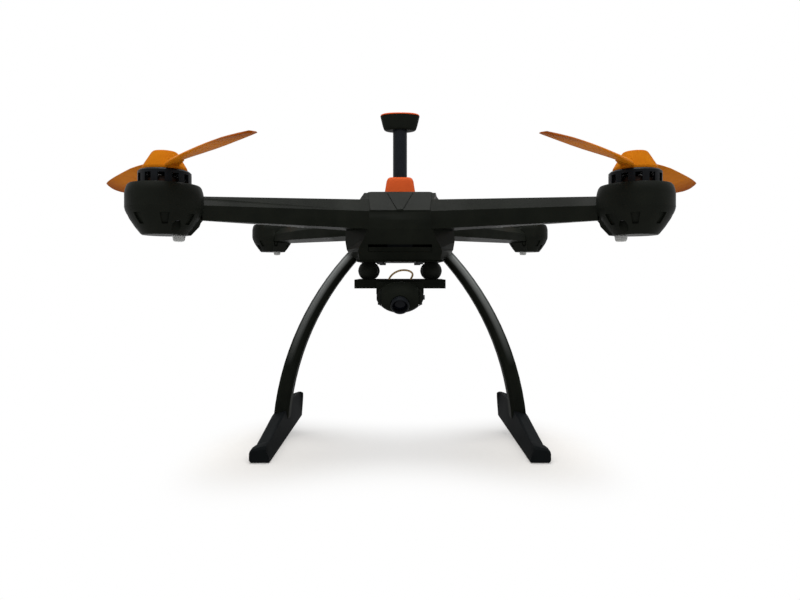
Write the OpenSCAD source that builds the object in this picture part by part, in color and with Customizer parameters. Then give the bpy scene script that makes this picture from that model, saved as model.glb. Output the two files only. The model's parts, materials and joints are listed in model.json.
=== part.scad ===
// Camera quadcopter on arched landing legs, with a positioning mast on its deck
// and a two-axis camera gimbal slung under its nose. Millimetres, +Z up, the nose
// towards -Y, and the origin on the ground under the middle of the airframe.

/* [Airframe] */
// Distance between opposite motor axes
wheelbase = 380; // [370:2:400]
// Wall of the shells, pods and covers
wall = 1.8; // [1.5:0.1:2.1]
// Height of the seam between the upper and lower shells
seam_z = 166.4; // [166:0.1:166.8]
// Height of the underside of the arms, on their nose and tail sides
arm_z = 160; // [159.4:0.1:160.4]
// How much higher the underside of an arm lies on its waist side
arm_rise = 1.6; // [1:0.1:2.2]
// Width of an arm where it meets its pod
arm_tip_w = 19; // [18:0.5:21]
// Height of the lower edge of an arm's bevel at its pod
bevel_tip_z = 168.8; // [168.4:0.1:169.2]
// Height of the lower edge of the bevel at the fuselage
bevel_root_z = 172.6; // [171.8:0.1:173.4]
// Width of an arm's bevel at its pod
bevel_tip = 5.8; // [5:0.1:6]
// Width of an arm's bevel at the fuselage
bevel_root = 9.3; // [8.4:0.1:9.8]
// Width of the fuselage at its waist
body_w = 78.6; // [76:0.2:82]
// Length of the fuselage
body_l = 132; // [128:1:138]
// Width of the flat faces at the nose and the tail
nose_w = 42.8; // [42:0.2:46]
// Height of the belly
belly_z = 138.8; // [138.4:0.1:139.2]
// Height of the deck
deck_z = 187.6; // [187:0.1:188.2]
// Thickness of the deck cover
cover_t = 1.4; // [1.2:0.1:1.8]
// Radius of the case screws
screw_r = 1.5; // [1.3:0.05:1.6]

/* [Pods] */
// Outer radius of a motor pod
pod_r = 21; // [20.6:0.1:22]
// Height of the rim of a pod
pod_top_z = 179.2; // [178.6:0.1:180]
// Height of the floor of a pod
pod_floor_z = 151; // [150.5:0.1:151.5]
// Radius of the flat floor of a pod
pod_floor_r = 12.8; // [12.6:0.1:13.4]
// Height of the face that a motor stands on
motor_seat_z = 170; // [169.6:0.1:170.2]
// Thickness of the plate under a motor
motor_plate_t = 2.2; // [2:0.1:2.4]
// Width of a cooling slot in a pod cover
slot_w = 5; // [4:0.2:6]
// Cooling slots in each pod cover
slot_count = 8; // [8:1:8]
// Radius of a lamp lens where it meets its pod
lamp_r = 3.8; // [3.5:0.1:4]
// How far a lamp lens hangs below its pod
lamp_drop = 3.4; // [3:0.1:5]
// Distance of a lamp from the motor axis, towards the fuselage
lamp_in = 8.1; // [7:0.1:8.3]

/* [Motors] */
// Outer radius of a motor bell
bell_r = 14.3; // [14.1:0.1:14.8]
// Wall of a motor bell
bell_wall = 1.5; // [1.3:0.1:1.6]
// Height of the lower edge of a motor bell
bell_low_z = 173.2; // [172.8:0.1:173.8]
// Height of the top of a motor bell
bell_top_z = 187.4; // [187:0.1:188]
// Windows round a motor bell
bell_windows = 12; // [9:3:15]
// Radius of a motor shaft
shaft_r = 1.6; // [1.5:0.05:1.8]
// Radius of the circle of a motor's fixing screws
motor_bolt_r = 9; // [8.6:0.1:9.2]
// Teeth of a motor's stator
stator_teeth = 12; // [9:3:12]

/* [Propellers] */
// Radius of a propeller
prop_r = 108; // [98:1:114]
// Widest chord of a blade
chord_max = 17.6; // [15:0.2:20]
// Angle of a blade to the level at the middle of its length
blade_angle = 15; // [10:0.5:19]
// Thickness of a blade at its tip
blade_tip_t = 1; // [0.9:0.1:1.3]
// Thickness of a blade at its root
blade_root_t = 3.2; // [2.8:0.1:3.6]
// How much higher the middle of a blade lies than its root
blade_lift = 1.2; // [0.6:0.1:2]
// Radius of the foot of a propeller hub
hub_r = 12.1; // [11.8:0.1:12.6]
// Height of a propeller hub
hub_h = 11.1; // [11:0.1:12.2]
// Radius of the threaded post that holds a propeller
post_r = 3; // [2.6:0.1:3.4]

/* [Landing gear] */
// Radius of a leg's arch, at its middle line
leg_arc_r = 225; // [205:1:245]
// Thickness of a leg at its top
leg_top_t = 9.4; // [9:0.1:10.4]
// Thickness of a leg at its foot
leg_foot_t = 12; // [11.4:0.1:12.6]
// Width of a leg, fore and aft
leg_w = 15; // [14:0.5:17]
// Distance of a skid's inner edge from the middle
skid_in = 89; // [88:0.1:90]
// Width of a skid
skid_w = 13.6; // [13:0.1:15]
// Distance of a skid's toe in front of the middle
skid_front = 75; // [70:0.5:80]
// Distance of a skid's heel behind the middle
skid_rear = 52; // [48:0.5:56]

/* [Positioning mast] */
// Radius of the mast tube
mast_r = 5.7; // [5.3:0.1:6.2]
// Wall of the mast tube
mast_wall = 1.2; // [1:0.1:1.5]
// Width of the mast foot at its base
foot_w = 25.2; // [24:0.2:27]
// Height of the mast foot
foot_h = 16.7; // [16:0.1:19]
// Height of the underside of the aerial cup
cup_z = 244.8; // [242:0.2:246]
// Half width of the rim of the aerial cup
cup_r = 16; // [15.6:0.1:16.6]
// Half depth of the rim of the aerial cup
cup_d = 9.2; // [9:0.1:9.6]
// Height of the aerial cup
cup_h = 11.6; // [11:0.1:12.2]
// Rise of the cap above the rim of the aerial cup
cap_h = 1.8; // [1.6:0.1:2.4]

/* [Gimbal] */
// Width of the hanger plate under the belly
hanger_w = 64; // [62:0.5:66]
// Thickness of the hanger plate
hanger_t = 1.3; // [1.2:0.1:1.7]
// Width of the gimbal tray
tray_w = 68.4; // [66:0.2:70]
// Distance of the tray's forward edge from the middle
tray_front = 38; // [37.5:0.1:38.4]
// Distance of the tray's rear edge from the middle
tray_rear = 19; // [18.5:0.5:22]
// Height of the tray's top face
tray_z = 124.3; // [124:0.1:124.6]
// Depth of the tray
tray_h = 6.6; // [6.2:0.1:6.8]
// Radius of a damper ball
ball_r = 7.5; // [7.2:0.1:7.7]
// Sideways distance between damper balls
ball_span = 48.6; // [47:0.2:50]
// Distance of the front pair of damper balls from the middle
ball_front = 29.5; // [29:0.5:30]
// Distance of the rear pair of damper balls from the middle
ball_rear = 10; // [9:0.5:11]
// Height of the tilt axis
tilt_z = 112; // [111.8:0.1:112.2]
// Distance of the tilt axis in front of the middle
tilt_y = 56.8; // [56.6:0.1:57.4]
// Height of the roll axis
roll_z = 109.2; // [108.8:0.1:109.2]
// Radius of the roll motor
roll_r = 8.2; // [7.8:0.1:8.3]
// Radius of the camera's ball at its middle
camera_r = 11.1; // [10.9:0.1:11.3]
// Width of the camera's ball
camera_w = 26.6; // [26.2:0.1:26.8]
// Outside width of the yoke
yoke_w = 33.2; // [33:0.1:34]
// Radius of the lens ring
lens_r = 6.6; // [6.2:0.1:7]
// Angle by which the camera looks down at rest
look_down = 30; // [20:1:40]

/* [Battery] */
// Width of the battery pack
pack_w = 36; // [33:0.5:36.5]
// Height of the battery pack
pack_h = 21.6; // [20:0.1:21.8]
// Length of the fuselage ahead of the battery pack
pack_ahead = 17; // [16:0.5:24]
// Length of the fuselage behind the battery pack's cells
pack_behind = 15; // [13:0.5:18]

/* [Hidden] */
$fn = 64;

// Clearances, named by the fit that they make
run_gap = 0.05;
slide_gap = 0.3;
seat_gap = 0.15;
reach = 60;

black = "#1c1d1c";
orange = "#c05a26";
amber = "#c87a32";
metal = "#8d9092";
circuit = "#1f4a33";

motor_xy = wheelbase / 2 / sqrt(2);
waist_y = 30;
cheek_w = 6.6;
cheek_h = 5.7;
arm_tip_s = wheelbase / 2 - pod_r + 3.2;
arm_overlap = 6;
bay_gap = 0.5;
bay_rib = 1.6;
bay_floor_z = belly_z + 4.8;
pack_z = bay_floor_z + slide_gap;
pack_rear = body_l / 2 - pack_behind;
pack_l = body_l - pack_ahead - pack_behind;
shelf_z = pack_z + pack_h + 1.2;
shelf_t = 1.6;
shelf_top_z = shelf_z + shelf_t;
lid_top_z = deck_z + cover_t;
hanger_z = belly_z - hanger_t;
tray_low_z = tray_z - tray_h;
cup_top_z = cup_z + cup_h;

// How far the deck starts behind the nose
nose_run = 18;
// One level of the fuselage: height, half width and half length at the nose, half
// width and half length at the waist, and the shares of an inset that lift the
// level and that draw its sides in
body_levels = [
    [belly_z, nose_w / 2 + 7.8, body_l / 2 - 16, body_w / 2 - cheek_w, waist_y - 6, 1, 0.6],
    [belly_z + cheek_h, nose_w / 2 + 8.6, body_l / 2 - 9, body_w / 2, waist_y - 2, 0.5, 0.9],
    [belly_z + 8.2, nose_w / 2 + 7.6, body_l / 2 - 5, body_w / 2 + 1.2, waist_y, 0.3, 1],
    [belly_z + 14.2, nose_w / 2 + 4, body_l / 2 - 2, body_w / 2 + 2.2, waist_y, 0, 1.05],
    [arm_z, nose_w / 2 + 1.4, body_l / 2, body_w / 2 + 2, waist_y, 0, 1],
    [bevel_root_z, nose_w / 2, body_l / 2, body_w / 2, waist_y, -0.4, 1],
    [deck_z, nose_w / 2 + 4.6, body_l / 2 - nose_run, body_w / 2 - 11, waist_y - 4, -1, 0.5]
];

function ring8(level, inset) =
    let (z = level[0] + level[5] * inset, cut = level[6] * inset,
        nx = level[1] - cut, ny = level[2] - cut, wx = level[3] - cut, wy = level[4])
    [[nx, -ny, z], [wx, -wy, z], [wx, wy, z], [nx, ny, z],
        [-nx, ny, z], [-wx, wy, z], [-wx, -wy, z], [-nx, -ny, z]];

// Skins a list of rings that all have the same number of points
module loft(rings) {
    count = len(rings[0]);
    last = (len(rings) - 1) * count;
    polyhedron(
        points = [for (ring = rings) each ring],
        faces = concat(
            [[for (i = [0:count - 1]) i]],
            [[for (i = [0:count - 1]) last + count - 1 - i]],
            [for (k = [0:len(rings) - 2], i = [0:count - 1])
                let (a = k * count + i, b = k * count + (i + 1) % count)
                each [[a, a + count, b + count], [a, b + count, b]]]),
        convexity = 6);
}

// Copies a shape that is drawn at the rear right corner to one of the four corners
module corner(side, end) {
    mirror([side < 0 ? 1 : 0, 0, 0]) mirror([0, end < 0 ? 1 : 0, 0]) children();
}

module four_corners() {
    for (side = [-1, 1], end = [-1, 1]) corner(side, end) children();
}

// Turns a shape so that its +X runs out along the rear right arm
module along_arm() {
    rotate([0, 0, 45]) children();
}

module at_motor() {
    along_arm() translate([wheelbase / 2, 0, 0]) children();
}

function along(p) = [(p[0] + p[1]) / sqrt(2), (p[1] - p[0]) / sqrt(2)];

function extend(from, to, more) = to + (to - from) / norm(to - from) * more;

// One cross-section of an arm: points p and q lie on its two side faces
function arm_ring(p, q, edge_z, bevel, inset) =
    let (u = (q - p) / norm(q - p), side = inset, top = bevel + 0.41 * inset,
        low_z = arm_z + inset, mid_z = edge_z - 0.41 * inset, top_z = edge_z + bevel - inset)
    [for (c = [[p + u * side, low_z], [p + u * side, mid_z], [p + u * top, top_z],
            [q - u * top, top_z], [q - u * side, mid_z], [q - u * side, low_z + arm_rise]])
        [c[0][0], c[0][1], c[1]]];

module arm_form(inset, longer = 0) {
    tip_p = [arm_tip_s, arm_tip_w / 2];
    tip_q = [arm_tip_s, -arm_tip_w / 2];
    root_p = along([nose_w / 2, body_l / 2]);
    root_q = along([body_w / 2 + 1, waist_y]);
    loft([
        arm_ring(extend(tip_p, root_p, arm_overlap), extend(tip_q, root_q, arm_overlap),
            bevel_root_z, bevel_root, inset),
        arm_ring(extend(root_p, tip_p, longer), extend(root_q, tip_q, longer),
            bevel_tip_z, bevel_tip, inset)]);
}

module body_form(inset) {
    loft([for (level = body_levels) ring8(level, inset)]);
}

module slab(low_z, high_z, size = 2 * wheelbase) {
    translate([-size / 2, -size / 2, low_z]) cube([size, size, high_z - low_z]);
}

module tube(outer, inner, low_z, high_z) {
    translate([0, 0, low_z]) difference() {
        cylinder(r = outer, h = high_z - low_z);
        translate([0, 0, -1]) cylinder(r = inner, h = high_z - low_z + 2);
    }
}

module rod(r, low_z, high_z) {
    translate([0, 0, low_z]) cylinder(r = r, h = high_z - low_z);
}

// A cap screw with its head down, whose head's upper face is at seat_z
module screw(r, seat_z, tip_z) {
    rod(r, seat_z - 0.1, tip_z);
    difference() {
        rod(1.8 * r, seat_z - 1.2 * r, seat_z);
        rod(0.9 * r, seat_z - 1.2 * r - 1, seat_z - 0.5 * r, $fn = 6);
    }
}

// ---- Shells ----

arm_boss_s = 97;
body_boss = [body_w / 2 - 9.5, 21];
boss_r = 3.4;
boss_seat_z = seam_z - 3.6;
cover_screws = [19, 38];

// Where the eight case screws stand
module at_case_screws() {
    four_corners() {
        along_arm() translate([arm_boss_s, 0, 0]) children();
        translate([body_boss[0], body_boss[1], 0]) children();
    }
}

module pod_bolts() {
    for (turn = [90, 270]) rotate([0, 0, turn]) translate([pod_bolt_r, 0, 0]) children();
}

pod_bolt_r = 15.4;
pod_bolt_seat_z = pod_floor_z + 8.6;

module pod_upper_form() {
    rotate_extrude() polygon([[0, seam_z], [pod_r, seam_z], [pod_r, pod_top_z - 5.6],
        [pod_r - 0.4, pod_top_z - 3.2], [pod_r - 1.1, pod_top_z - 1], [pod_r - 1.9, pod_top_z],
        [0, pod_top_z]]);
}

module motor_bolts(count = 4) {
    for (i = [0:count - 1]) rotate([0, 0, 45 + 360 / count * i])
        translate([motor_bolt_r, 0, 0]) children();
}

module pod_hollow() {
    rod(pod_r - wall, motor_seat_z, pod_top_z - wall);
    rod(bell_r + 0.9, motor_seat_z, pod_top_z + 1);
    rod(pod_r - wall, seam_z - 1, motor_seat_z - motor_plate_t);
    rod(4, motor_seat_z - reach / 4, motor_seat_z + 1);
    translate([-11, 0, motor_seat_z - motor_plate_t - 1])
        linear_extrude(motor_plate_t + 2) square([6, 9], center = true);
    motor_bolts() rod(screw_r + run_gap, seam_z, motor_seat_z + 1);
}

shield_lift = 0.6;
crest_lift = 1.2;
nose_slope = atan2(deck_z - bevel_root_z, nose_run);

// Raises a panel on the nose's upper slope, between half widths at its foot and its top
module nose_panel(lift, foot_x, top_x) {
    intersection() {
        translate([0, -lift * sin(nose_slope), lift * cos(nose_slope)]) body_form(0);
        translate([0, nose_run - body_l / 2, 0]) rotate([90, 0, 0]) linear_extrude(nose_run + 2)
            polygon([[-foot_x, bevel_root_z], [foot_x, bevel_root_z], [top_x, deck_z], [-top_x, deck_z]]);
    }
}

module upper_shell() {
    color(black) difference() {
        union() {
            difference() {
                intersection() {
                    union() {
                        body_form(0);
                        four_corners() along_arm() arm_form(0);
                        nose_panel(shield_lift, nose_w / 2 - 0.9, nose_w / 2 + 1.8);
                        nose_panel(crest_lift, 1.4, 9.2);
                    }
                    slab(seam_z, deck_z + 1);
                }
                body_form(wall);
                four_corners() along_arm() arm_form(wall, 4);
            }
            intersection() {
                union() {
                    body_form(0);
                    four_corners() along_arm() arm_form(0);
                }
                at_case_screws() rod(boss_r, seam_z, deck_z);
            }
            four_corners() at_motor() pod_upper_form();
        }
        four_corners() at_motor() pod_hollow();
        four_corners() at_motor() pod_bolts() rod(1.2, seam_z - 1, motor_seat_z - 0.6);
        at_case_screws() rod(screw_r + run_gap, seam_z - 1, seam_z + 5);
        translate([-17, -34, deck_z - 6]) cube([34, 68, 12]);
        four_corners() translate([cover_screws[0], cover_screws[1], 0])
            rod(1.1, deck_z - 6, deck_z + 1);
        latch_window();
    }
}

// Cut in the tail above the battery for its latch
latch_w = 14;
latch_h = 5;
latch_low_z = seam_z + 1.4;

module latch_window() {
    translate([-latch_w / 2 - slide_gap, body_l / 2 - 4, latch_low_z - slide_gap])
        cube([latch_w + 2 * slide_gap, 6, latch_h + 2 * slide_gap]);
}

module bay_walls() {
    rib_x = pack_w / 2 + bay_gap;
    for (side = [-1, 1]) {
        translate([side > 0 ? rib_x : -rib_x - bay_rib, -pack_l / 2 + 2, belly_z + 1])
            cube([bay_rib, pack_l - 4, shelf_z - belly_z - 1]);
        intersection() {
            translate([side * 7 - 1.5, pack_rear - pack_l - 8, belly_z + 1])
                cube([3, pack_l + 4, bay_floor_z - belly_z - 1]);
            body_form(wall / 2);
        }
    }
}

module bay_mouth(gap) {
    half = pack_w / 2 + gap;
    translate([-half, body_l / 2 - 22, pack_z - gap]) cube([2 * half, 30, pack_h + 2 * gap]);
}

module lower_shell() {
    color(black) difference() {
        union() {
            difference() {
                intersection() {
                    union() {
                        body_form(0);
                        four_corners() along_arm() arm_form(0);
                    }
                    slab(belly_z - 1, seam_z);
                }
                body_form(wall);
                four_corners() along_arm() arm_form(wall, 4);
            }
            intersection() {
                union() {
                    body_form(0);
                    four_corners() along_arm() arm_form(0);
                }
                union() {
                    at_case_screws() rod(boss_r, belly_z, seam_z);
                    leg_seats() rod(boss_r, 0, leg_boss_h);
                }
            }
            bay_walls();
        }
        at_case_screws() {
            rod(screw_r + run_gap, belly_z - 1, seam_z + 1);
            rod(1.8 * screw_r + 0.2, belly_z - 1, boss_seat_z);
        }
        bay_mouth(slide_gap);
        at_hanger_screws() rod(screw_r + run_gap, belly_z - 1, belly_z + 5);
        leg_seats() rod(screw_r + run_gap, -1, leg_boss_h + 1);
        port_recess(0);
    }
}

// The level plate that closes the deck, with a low crown
module deck_cover() {
    nx = nose_w / 2 + 2.2;
    ny = body_l / 2 - nose_run - 2;
    wx = body_w / 2 - 13;
    wy = waist_y - 5;
    color(black) difference() {
        loft([ring8([deck_z, nx, ny, wx, wy, 0, 1], 0),
            ring8([deck_z + cover_t / 2, nx, ny, wx, wy, 0, 1], 0),
            ring8([lid_top_z, nx, ny, wx, wy, 0, 1], 2.2)]);
        four_corners() translate([cover_screws[0], cover_screws[1], 0]) {
            rod(1.2, deck_z - 1, lid_top_z + 1);
            rod(2.3, deck_z + cover_t / 2, lid_top_z + 1);
        }
        at_mast_screws() rod(screw_r + run_gap, deck_z - 1, lid_top_z + 1);
        rod(2.4, deck_z - 1, lid_top_z + 1);
    }
}

module chassis_plate() {
    half = pack_w / 2 + bay_gap + bay_rib;
    color("#2a2d2f") difference() {
        translate([-half, 10 - body_l / 2, shelf_z]) cube([2 * half, body_l - 30, shelf_t]);
        for (y = [-30, 30]) translate([0, y, 0]) rod(5, shelf_z - 1, shelf_top_z + 1);
    }
}

// The slot of the service port, low on the nose, and the strip in its lower part
port_w = 45;
port_h = 5.2;
port_z = belly_z + 5.4;
port_strip_h = 3.5;
port_front = body_l / 2 - 7.6;

module port_recess(gap, high = port_h) {
    half = port_w / 2 - gap;
    translate([-half, -port_front - 6, port_z + gap]) cube([2 * half, 8, high - 2 * gap]);
}

module port_cover() {
    color("#2b2d2c") difference() {
        intersection() {
            port_recess(seat_gap, port_strip_h);
            body_form(0.3);
        }
        for (side = [-1, 1]) translate([side * 13, -port_front - 8, port_z + port_strip_h / 2])
            rotate([-90, 0, 0]) cylinder(r = 1.1, h = 5, $fn = 32);
    }
}

// ---- Pods and lamps ----

module pod_cover() {
    lens = lamp_neck_r + run_gap;
    color(black) difference() {
        union() {
            difference() {
                pod_lower_form(0);
                pod_lower_form(wall);
            }
            intersection() {
                pod_lower_form(0);
                pod_bolts() rod(3, pod_floor_z, seam_z);
            }
        }
        translate([-wheelbase / 2, 0, 0]) arm_form(-seat_gap, 3);
        difference() {
            for (i = [0:slot_count - 1]) rotate([0, 0, 360 / slot_count * (i + 0.5)])
                translate([pod_floor_r - 1, 0, pod_floor_z + 8.4]) rotate([90, 0, 90])
                    linear_extrude(pod_r) polygon([[-slot_w * 0.3, -3], [slot_w * 0.3, -3],
                        [slot_w / 2, 3], [-slot_w / 2, 3]]);
            pod_lower_form(slot_depth);
        }
        translate([-lamp_in, 0, 0]) rod(lens, pod_floor_z - 1, pod_floor_z + wall + 1);
        pod_bolts() {
            rod(1.3, pod_floor_z - 1, seam_z + 1);
            rod(2.3, pod_floor_z - 1, pod_bolt_seat_z);
        }
    }
}

slot_depth = 1.1;
lamp_neck_r = lamp_r - 0.6;

// The lower half of a pod, drawn in by an inset, with the chin that meets its arm
module pod_lower_form(inset) {
    rotate_extrude() polygon(pod_lower_profile(inset));
    top_z = seam_z + (inset > 0 ? 1 : 0);
    loft([for (level = [[pod_floor_z + inset, pod_floor_r - 0.6, 7], [arm_z, 19.7, arm_tip_w / 2],
            [top_z, 19.7, arm_tip_w / 2]])
        let (s = level[1] - inset, half = level[2] - inset)
        [[-s, -half, level[0]], [0, -half, level[0]], [0, half, level[0]], [-s, half, level[0]]]]);
}

function pod_lower_profile(inset) =
    let (z = pod_floor_z, top = seam_z + (inset > 0 ? 1 : 0), r = pod_floor_r - inset,
        grow = pod_r - pod_floor_r, tall = seam_z - pod_floor_z)
    [[0, z + inset], [r - 0.7, z + inset], [r, z + inset + 0.6],
        [r + 0.32 * grow, z + 0.26 * tall + inset * 0.4],
        [r + 0.69 * grow, z + 0.56 * tall + inset * 0.4],
        [r + 0.94 * grow, z + 0.85 * tall + inset * 0.3],
        [r + grow, seam_z - 0.2], [r + grow, top], [0, top]];

module lamp_lens() {
    translate([-lamp_in, 0, 0]) {
        rotate_extrude() polygon([[0, pod_floor_z - lamp_drop], [lamp_r - 1.5, pod_floor_z - lamp_drop],
            [lamp_r - 0.7, pod_floor_z - lamp_drop + 0.8], [lamp_r, pod_floor_z], [0, pod_floor_z]]);
        rod(lamp_neck_r, pod_floor_z - 0.1, pod_floor_z + wall);
    }
}

module lamp_lenses() {
    color("#e6e8e6") four_corners() at_motor() lamp_lens();
}

module lamp_boards() {
    color(circuit) four_corners() at_motor() {
        rod(pod_floor_r - wall - 1.2, pod_floor_z + wall, pod_floor_z + wall + 1.2);
        translate([-lamp_in, 0, pod_floor_z + wall + 1.1]) linear_extrude(1.1)
            square([3, 3], center = true);
    }
}

module pod_screws() {
    color(metal) four_corners() at_motor() pod_bolts()
        screw(1.2, pod_bolt_seat_z, motor_seat_z - 1);
}

// ---- Motors ----

stator_r = bell_r - bell_wall - 0.95;
stator_low_z = bell_low_z + 1.4;
stator_high_z = bell_top_z - 5;

module motor_stator() {
    hub = shaft_r + 2.2;
    difference() {
        union() {
            rod(motor_bolt_r + 2.6, motor_seat_z, bell_low_z - 0.6);
            rod(hub, motor_seat_z, bell_top_z - 2.6);
            for (i = [0:stator_teeth - 1]) rotate([0, 0, 360 / stator_teeth * i]) {
                translate([hub - 0.5, -0.8, stator_low_z])
                    cube([stator_r - hub, 1.6, stator_high_z - stator_low_z]);
                translate([hub + 1.2, -1.4, stator_low_z - 0.6])
                    cube([stator_r - hub - 2.8, 2.8, stator_high_z - stator_low_z + 1.2]);
            }
            difference() {
                tube(stator_r, stator_r - 1.2, stator_low_z, stator_high_z);
                for (i = [0:stator_teeth - 1]) rotate([0, 0, 360 / stator_teeth * (i + 0.5)])
                    translate([stator_r - 2.5, -0.5, stator_low_z - 1]) cube([4, 1, reach]);
            }
        }
        rod(shaft_r + run_gap, motor_seat_z - 1, bell_top_z);
        motor_bolts() rod(screw_r + run_gap, motor_seat_z - 1, bell_low_z);
    }
}

module motor_stators() {
    color("#7a4a2a") four_corners() at_motor() motor_stator();
}

// The turning half of a motor: the bell with its magnets, shaft and threaded post
module motor_bell() {
    inner = bell_r - bell_wall;
    pitch_angle = 360 / bell_windows;
    color("#26282a") difference() {
        union() {
            difference() {
                rotate_extrude() polygon([[0, bell_low_z], [bell_r, bell_low_z],
                    [bell_r, bell_top_z - 0.9], [bell_r - 0.9, bell_top_z], [0, bell_top_z]]);
                rod(inner, bell_low_z - 1, bell_top_z - 2);
            }
            difference() {
                tube(inner + 0.1, inner - 0.7, stator_low_z, stator_high_z - 1);
                for (i = [0:13]) rotate([0, 0, 360 / 14 * i])
                    translate([inner - 3, -0.4, stator_low_z - 1]) cube([3, 0.8, reach]);
            }
            rod(shaft_r, motor_seat_z + 0.4, bell_top_z - 1);
            rod(post_r, bell_top_z - 0.1, bell_top_z + hub_h - 4.2);
        }
        for (i = [0:bell_windows - 1]) rotate([0, 0, pitch_angle * i])
            translate([inner - 1, -bell_r * sin(pitch_angle / 4), stator_high_z - 2.6])
                cube([5, 2 * bell_r * sin(pitch_angle / 4), 5.2]);
        for (i = [0:5]) rotate([0, 0, 60 * i]) translate([8.4, 0, 0])
            rod(2, bell_top_z - 3, bell_top_z + 1);
    }
}

module motor_screws() {
    color(metal) four_corners() at_motor() motor_bolts()
        screw(screw_r, motor_seat_z - motor_plate_t, bell_low_z - 1);
}

// ---- Propellers ----

hub_z = bell_top_z + 0.1;
blade_z = hub_z + 3;
// Distance out as a share of the radius, then the chord and the lead of the front
// edge over the blade's axis, both as shares of the widest chord, and the angle as a
// share of that at the middle of the length
blade_stations = [
    [0.08, 0.8, 0.22, 2.6], [0.12, 0.9, 0.25, 2.1], [0.18, 0.95, 0.28, 1.75],
    [0.26, 0.98, 0.32, 1.5], [0.36, 1, 0.34, 1.3], [0.48, 0.98, 0.3, 1.1],
    [0.6, 0.96, 0.25, 1], [0.7, 0.95, 0.17, 1.02], [0.8, 0.94, 0.08, 1.06],
    [0.88, 0.94, -0.01, 1.1], [0.93, 0.93, -0.06, 1.14], [0.965, 0.72, -0.17, 1.17],
    [0.987, 0.42, -0.26, 1.19], [1, 0.13, -0.34, 1.2]
];
blade_section = [[0, 0], [0.12, 0.55], [0.35, 0.95], [0.62, 0.8], [1, 0.12],
    [1, 0], [0.6, -0.05], [0.25, -0.12]];

function blade_ring(station) =
    let (r = station[0] * prop_r, c = station[1] * chord_max,
        turn = station[3] * blade_angle, lead = station[2] * chord_max,
        thick = blade_tip_t + (blade_root_t - blade_tip_t) * (1 - station[0]),
        rise = blade_lift * station[0] * (2.6 - 1.6 * station[0]))
    [for (p = blade_section)
        let (along = lead - p[0] * c, up = p[1] * thick)
        [r, along * cos(turn) - up * sin(turn),
            blade_z + rise + along * sin(turn) + up * cos(turn)]];

// The thickening under a blade's front edge where it leaves the hub
module blade_root() {
    hull() {
        translate([hub_r - 2.6, -3, blade_z - 0.6]) cube([0.6, 7, 3.4]);
        translate([hub_r + 3.4, 1, blade_z + 1.2]) cube([0.6, 2.6, 0.8]);
    }
}

// A two-bladed propeller that turns anticlockwise when seen from above
module propeller_form() {
    difference() {
        union() {
            rotate_extrude() polygon([[0, hub_z], [hub_r, hub_z], [hub_r, hub_z + 1.4],
                [hub_r - 0.9, hub_z + 3.6], [hub_r - 2.8, hub_z + 7], [hub_r - 4.6, hub_z + 9.1],
                [hub_r - 7.2, hub_z + 10.5], [hub_r - 9.6, hub_z + hub_h], [0, hub_z + hub_h]]);
            for (turn = [0, 180]) rotate([0, 0, turn]) {
                loft([for (station = blade_stations) blade_ring(station)]);
                blade_root();
            }
        }
        rod(post_r + run_gap, hub_z - 1, bell_top_z + hub_h - 4);
        rod(bell_r + 0.5, bell_low_z, hub_z);
    }
}

module propeller(rest_turn = 90) {
    color(amber) rotate([0, 0, rest_turn]) propeller_form();
}

// ---- Electronics ----

esc_s = 106;
esc_l = 44;
esc_w = 12;
esc_t = 3.8;
esc_low_z = arm_z + arm_rise + wall;
lead_s = 58;

module speed_controllers() {
    color("#30343a") four_corners() along_arm() translate([esc_s, 1.5 - esc_w / 2, esc_low_z])
        cube([esc_l, esc_w, esc_t]);
}

module arm_wiring() {
    wire_z = esc_low_z + esc_t / 2;
    pod_s = wheelbase / 2 - 11;
    color("#8a1f1a") four_corners() along_arm() {
        for (y = [-2.5, 0.2, 2.9]) {
            translate([esc_s + esc_l, y, wire_z]) rotate([0, 90, 0])
                cylinder(r = 0.9, h = pod_s - esc_s - esc_l, $fn = 24);
            translate([pod_s, y, wire_z]) sphere(r = 0.9, $fn = 24);
            translate([pod_s, y, 0]) rod(0.9, wire_z, motor_seat_z - 0.2, $fn = 24);
        }
        for (y = [4.6, 6.6]) translate([lead_s, y, wire_z]) rotate([0, 90, 0])
            cylinder(r = 0.9, h = esc_s - lead_s, $fn = 24);
    }
}

// Places and lengths of the three boards along the chassis plate
receiver_y = -body_l / 3;
receiver_l = 0.15 * body_l;
controller_y = -0.15 * body_l;
controller_l = 0.3 * body_l;
power_y = body_l / 6;
power_l = body_l / 6;

module flight_controller() {
    rear_y = controller_y + controller_l;
    color("#33373c") {
        translate([-19, controller_y, shelf_top_z]) cube([38, controller_l, 1.6]);
        translate([-16, controller_y + 3, shelf_top_z + 1.5]) cube([32, controller_l - 6, 8]);
        for (x = [-12, 0, 12]) translate([x - 4, rear_y - 3.1, shelf_top_z + 1.5]) cube([8, 3, 4]);
    }
}

module power_board() {
    color(circuit) {
        translate([-17, power_y, shelf_top_z]) cube([34, power_l, 1.6]);
        for (x = [-10, 0, 10]) translate([x, power_y + 0.35 * power_l, 0])
            rod(3.4, shelf_top_z + 1.5, shelf_top_z + 10);
        translate([-14, power_y + power_l - 7, shelf_top_z + 1.5]) cube([28, 6, 4]);
    }
}

module radio_receiver() {
    color(circuit) {
        translate([-14, receiver_y, shelf_top_z]) cube([28, receiver_l, 1.2]);
        translate([-11, receiver_y + 3, shelf_top_z + 1.1]) cube([22, receiver_l - 6, 4.4]);
    }
}

socket_low_z = bay_floor_z + 4;

module battery_socket() {
    socket_y = pack_rear - pack_l - slide_gap;
    color("#b08a2c") difference() {
        translate([-9, socket_y - 6, socket_low_z]) cube([18, 6, shelf_z - socket_low_z]);
        for (x = [-6, -2, 2, 6]) translate([x - 0.6, socket_y - 2, socket_low_z + 3])
            cube([1.2, 3, 6]);
    }
}

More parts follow.
